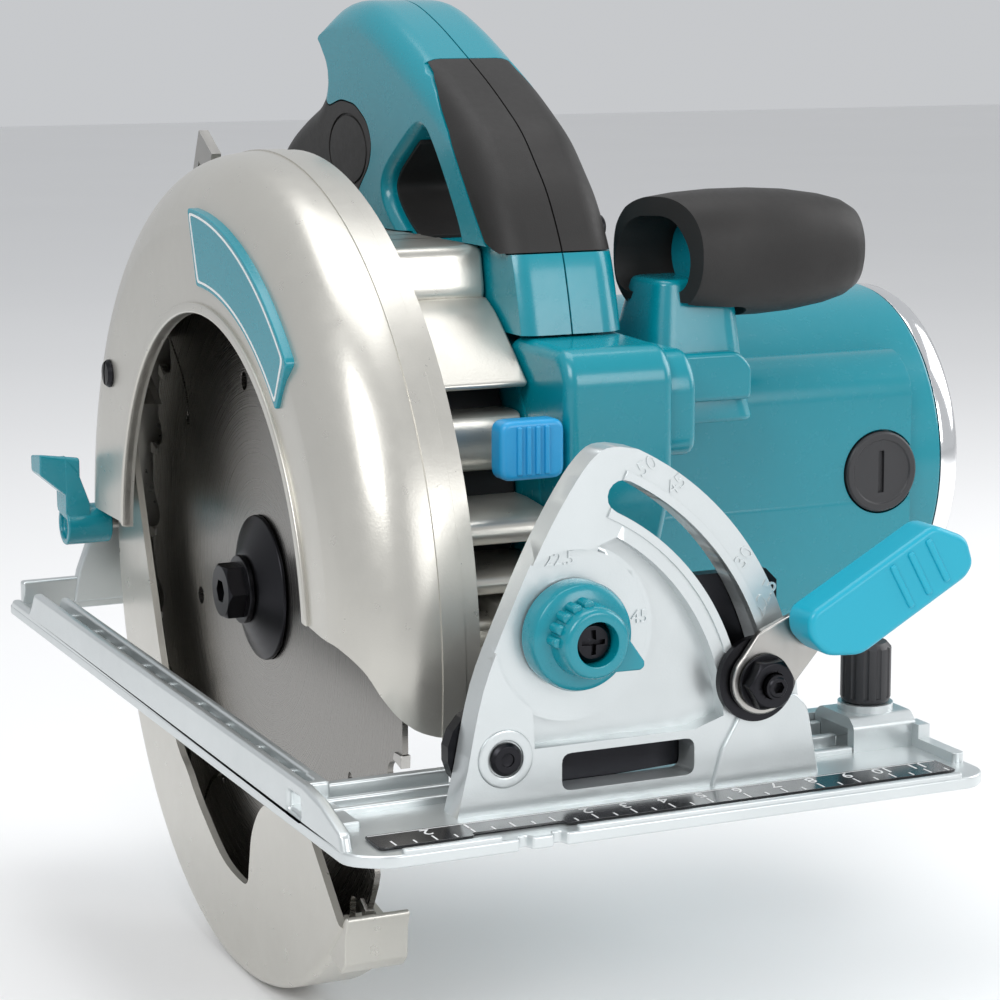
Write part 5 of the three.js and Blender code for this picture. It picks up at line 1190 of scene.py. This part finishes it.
class SAW_OT_controls(Maker, bpy.types.Operator):
    """Stop knob, bevel clamp and lever, shaft lock, depth lever and fence clamp"""
    bl_idname = "saw.controls"
    bl_label = "Controls"

    def execute(self, context):
        self.knob()
        self.clamp()
        self.lock()
        self.depth_lever()
        self.fence_clamp()
        return {"FINISHED"}

    @staticmethod
    def knob():
        at = (KNOB.x, 0, KNOB.z)
        disc = turned("disc", [(0, -1.4), (13, -1.4), (13, -5.4), (12.4, -7.2), (11, -8.2), (8.4, -8.6),
                               (0, -8.6)],
                      "y", at, 96)
        hub = turned("hub", [(0, -7), (9, -7), (8.4, -13.6), (7.9, -14.8), (7, -15.2), (5.2, -15.2),
                             (5.2, -7.2), (0, -7.2)], "y", at, 96)
        turn = math.radians(-118)
        turned_to = lambda u, v: (KNOB.x + u * math.cos(turn) - v * math.sin(turn),
                                  KNOB.z + u * math.sin(turn) + v * math.cos(turn))
        pointer = prism("pointer", [turned_to(-5.6, 6), turned_to(5.6, 6), turned_to(1.2, 14.6),
                                    turned_to(0, 15.4), turned_to(-1.2, 14.6)], "y", -12.2, -7)
        ridges = []
        for i in range(5):
            a = math.radians(96 + i * 20)
            u, v = KNOB.x + 8.7 * math.cos(a), KNOB.z + 8.7 * math.sin(a)
            ridges.append(rounded(rod("ridge", "y", (u, 0, v), 1.3, -12.6, -8, 12), 0.4, 2))
        cut(disc, rod("well", "y", at, 5.2, -20, -7.2, 40))
        put(gather("stop_knob", rounded(disc, 0.7, 3), rounded(hub, 0.4, 2), rounded(pointer, 0.7, 3),
                   *ridges), "stopper",
            "teal_plastic", "stopper_knob")
        head = turned("head", [(0, -9.8), (4.9, -9.8), (4.9, -11.4), (3.9, -12.5), (0, -12.9)], "y", at, 48)
        cut(head, box("slot", KNOB.x - 2.9, KNOB.x + 2.9, -14, -11.2, KNOB.z - 0.55, KNOB.z + 0.55),
            box("slot", KNOB.x - 0.55, KNOB.x + 0.55, -14, -11.2, KNOB.z - 2.9, KNOB.z + 2.9))
        shank = rod("shank", "y", at, 2.2, -10, 6, 24)
        put(gather("stop_screw_head", rounded(head, 0.15, 2), shank), "base", "dark_steel", "stopper_screw")

    def clamp(self):
        x, z = CLAMP.x, CLAMP.z
        washer = tube("clamp_washer_ring", "y", (x, 0, z), 5.2, 10.4, -4.4, -2.4, 80)
        cut(washer, prism("gap", [(x, z - 3), (x + 14, z + 1), (x + 9, z + 12), (x, z + 3)], "y", -8, 0))
        for i in range(3):
            a = math.radians(160 + 50 * i)
            cut(washer, rod("notch", "y", (x + 5.6 * math.cos(a), 0, z + 5.6 * math.sin(a)), 1.7, -8, 0,
                            20))
        put(rounded(washer, 0.4, 3), "tilt", "dark_steel", "bevel_clamp_washer")
        plate = prism("lever_arm_plate", rounded_outline([
            *arc(x, z, 8.2, 130, 330, 16), (x + 9, z - 1), (x + 17, z + 8), (x + 9, z + 16),
            (x - 1, z + 12)], 1.2),
            "y", -7, -4.8)
        cut(plate, rod("bore", "y", (x, 0, z), 3.2, -10, 0, 32))
        put(rounded(plate, 0.5, 3), "bevel_lever", "steel", "bevel_lever_plate")
        nut = within(prism("nut", hexagon(x, z, 6.4), "y", -12.2, -7.4), turned("cone", [
            (0, -12.2), (5.2, -12.2), (6.6, -11), (6.6, -6.8), (0, -6.8)], "y", (x, 0, z), 64))
        cut(nut, rod("bore", "y", (x, 0, z), 3.2, -14, -6, 32))
        flange = tube("flange", "y", (x, 0, z), 3.2, 6.8, -8.3, -7.35, 64)
        put(gather("clamp_nut_hex", rounded(nut, 0.3, 2), rounded(flange, 0.3, 2)), "bevel_lever",
            "dark_steel", "bevel_clamp_nut")
        bolt = turned("bolt", [(0, -14.4), (2.2, -14.4), (2.8, -13.6), (2.8, 10), (0, 10)], "y", (x, 0, z),
                      40)
        cut(bolt, prism("socket", hexagon(x, z, 1.5), "y", -16, -12.6))
        threads = [rounded(tube("thread", "y", (x, 0, z), 2.5, 3, -14 + 0.55 * i, -13.7 + 0.55 * i, 40), 0,
                           1)
                   for i in range(3)]
        head = prism("head", hexagon(x, z, 6), "y", 10.7, 14.4)
        put(gather("clamp_bolt_end", rounded(bolt, 0.2, 2), rounded(head, 0.4, 2), *threads), "tilt",
            "dark_steel", "bevel_clamp_bolt")
        rise = math.radians(29)
        at = lambda along, across: (x + 6 + along * math.cos(rise) - across * math.sin(rise),
                                    z + 12 + along * math.sin(rise) + across * math.cos(rise))
        grip = prism("grip", rounded_outline([
            at(0, 0), at(2.6, 5), at(41.5, 5), at(48, -3), at(46.6, -9.8), at(43.5, -11.6), at(10, -11.8),
            at(2, -6.6)],
            2.4, 4), "y", -18.4, -7.4)
        parts = [rounded(grip, 1.6, 4, 30)]
        for i in range(self.sizes.lever_ribs):
            a = 26 + i * 5.6
            rib = prism("rib", [at(a, -9), at(a + 1.8, -9), at(a + 1.8, 3), at(a, 3)], "y", -19.1, -16)
            parts.append(rounded(rib, 0.6, 3))
        put(gather("bevel_lever_moulding", *parts), "bevel_lever", "lever_plastic", "bevel_lever_grip")

    def lock(self):
        low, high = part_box("shaft_lock")[0] / MM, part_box("shaft_lock")[1] / MM
        body = prism("tab", rounded_outline(rectangle(low.x, high.x, low.z, high.z), 3.2, 5), "y",
                     low.y + 0.8, low.y + 8)
        parts = [rounded(body, 1.6, 4, 40)]
        for i in range(self.sizes.tab_ribs):
            x = low.x + 4.2 + i * 2.5
            parts.append(rounded(box("rib", x, x + 1.3, low.y, low.y + 2, low.z + 1.4, high.z - 1.4), 0.5,
                                 3))
        parts.append(rounded(box("stem", 30, 36, low.y + 6, high.y, 76, 82), 0.5, 2))
        put(gather("lock_tab", *parts), "shaft_lock_body", "blue_plastic", "shaft_lock")

    @staticmethod
    def depth_lever():
        y, z = DEPTH_BOLT.y, DEPTH_BOLT.z
        hub = tube("hub", "x", (0, y, z), 2.6, 6.3, -26.2, -12, 48)
        cut(hub, rod("well", "x", (0, y, z), 4.2, -30, -24.6, 40))
        guard_left = edge("lower_guard", 0, 0)
        nub = prism("nub", rounded_outline(rectangle(y - 3.2, y + 5, z - 4.5, z + 4.5), 2), "x", -13.5,
                    guard_left - 1)
        arm = loft("arm", [
            rounded_outline([(y - 5, z - 2), (y + 5.6, z - 2), (y + 6, z + 6), (y - 5.4, z + 8)], 2),
            rounded_outline([(y - 5, z - 2), (y + 5.6, z - 2), (y + 6, z + 16), (y - 6, z + 19)], 2),
            rounded_outline([(y - 5, z + 4), (y + 5.6, z + 4), (y + 6, z + 21), (y - 6, z + 23)], 2)], "x",
            [-19, -23.0, -26.6])
        wing = loft("wing", [
            rounded_outline([(y - 5.4, z + 6), (y + 5.8, z + 6), (y + 6, z + 20), (y - 6, z + 22)], 2),
            rounded_outline([(y - 5, z + 17), (y + 5.6, z + 17), (y + 5.8, z + 22), (y - 5.6, z + 23.6)],
                            1)], "x",
            [-22, -34.5])
        put(gather("depth_lever_moulding", rounded(hub, 0.6, 3), rounded(nub, 0.9, 3),
                   rounded(arm, 1.2, 4, 40), rounded(wing, 0.8, 3, 40)), "depth_lever_body", "teal_plastic",
                   "depth_lever")

    @staticmethod
    def fence_clamp():
        at = centre("fence_clamp_screw")
        low, high = edge("fence_clamp_screw", 0, 2), edge("fence_clamp_screw", 1, 2)
        knob = turned("knob", [(0, low), (3, low), (3, 13.8), (6, 13.8), (6.4, 15), (6.4, high - 1.4),
                               (5.2, high), (0, high)], "z", (at.x, at.y, 0), 64)
        for i in range(12):
            a = math.radians(30 * i)
            cut(knob, rod("flute", "z", (at.x + 6.9 * math.cos(a), at.y + 6.9 * math.sin(a), 0), 0.9, 15,
                          high + 2, 12))
        put(rounded(knob, 0.25, 2), "fence_clamp", "black_plastic", "fence_clamp_screw")


class SAW_OT_frame_finishes(Maker, bpy.types.Operator):
    """Finishes on the CAD nodes that show as they are"""
    bl_idname = "saw.frame_finishes"
    bl_label = "Frame finishes"

    def execute(self, context):
        slots = {row["node"]: row["material_slot"] for row in frame["record"]["subparts"]}
        for name, node in frame["nodes"].items():
            node.data.materials.clear()
            node.data.materials.append(FINISHES[slots[name]])
        return {"FINISHED"}


class SAW_PT_panel(bpy.types.Panel):
    """Lists the sizes, the colours and the operators"""
    bl_idname = "SAW_PT_panel"
    bl_label = "Circular saw"
    bl_space_type = "VIEW_3D"
    bl_region_type = "UI"
    bl_category = "Saw"

    def draw(self, context):
        for group in (context.scene.saw_sizes, context.scene.saw_colours):
            for name in group.__annotations__:
                self.layout.prop(group, name)
        for maker in MAKERS:
            self.layout.operator(maker.bl_idname)


MAKERS = (SAW_OT_stage, SAW_OT_frame_finishes, SAW_OT_base, SAW_OT_scale, SAW_OT_guards, SAW_OT_blade,
          SAW_OT_gear_case, SAW_OT_motor, SAW_OT_handle, SAW_OT_front_grip, SAW_OT_controls)
CLASSES = (SawSizes, SawColours, *MAKERS, SAW_PT_panel)


def register():
    for made in CLASSES:
        bpy.utils.register_class(made)
    bpy.types.Scene.saw_sizes = bpy.props.PointerProperty(type=SawSizes)
    bpy.types.Scene.saw_colours = bpy.props.PointerProperty(type=SawColours)


def unregister():
    del bpy.types.Scene.saw_sizes
    del bpy.types.Scene.saw_colours
    for made in reversed(CLASSES):
        bpy.utils.unregister_class(made)


def main():
    register()
    make_finishes(bpy.context.scene.saw_colours)
    for maker in MAKERS:
        group, name = maker.bl_idname.split(".")
        getattr(getattr(bpy.ops, group), name)()


if __name__ == "__main__":
    main()
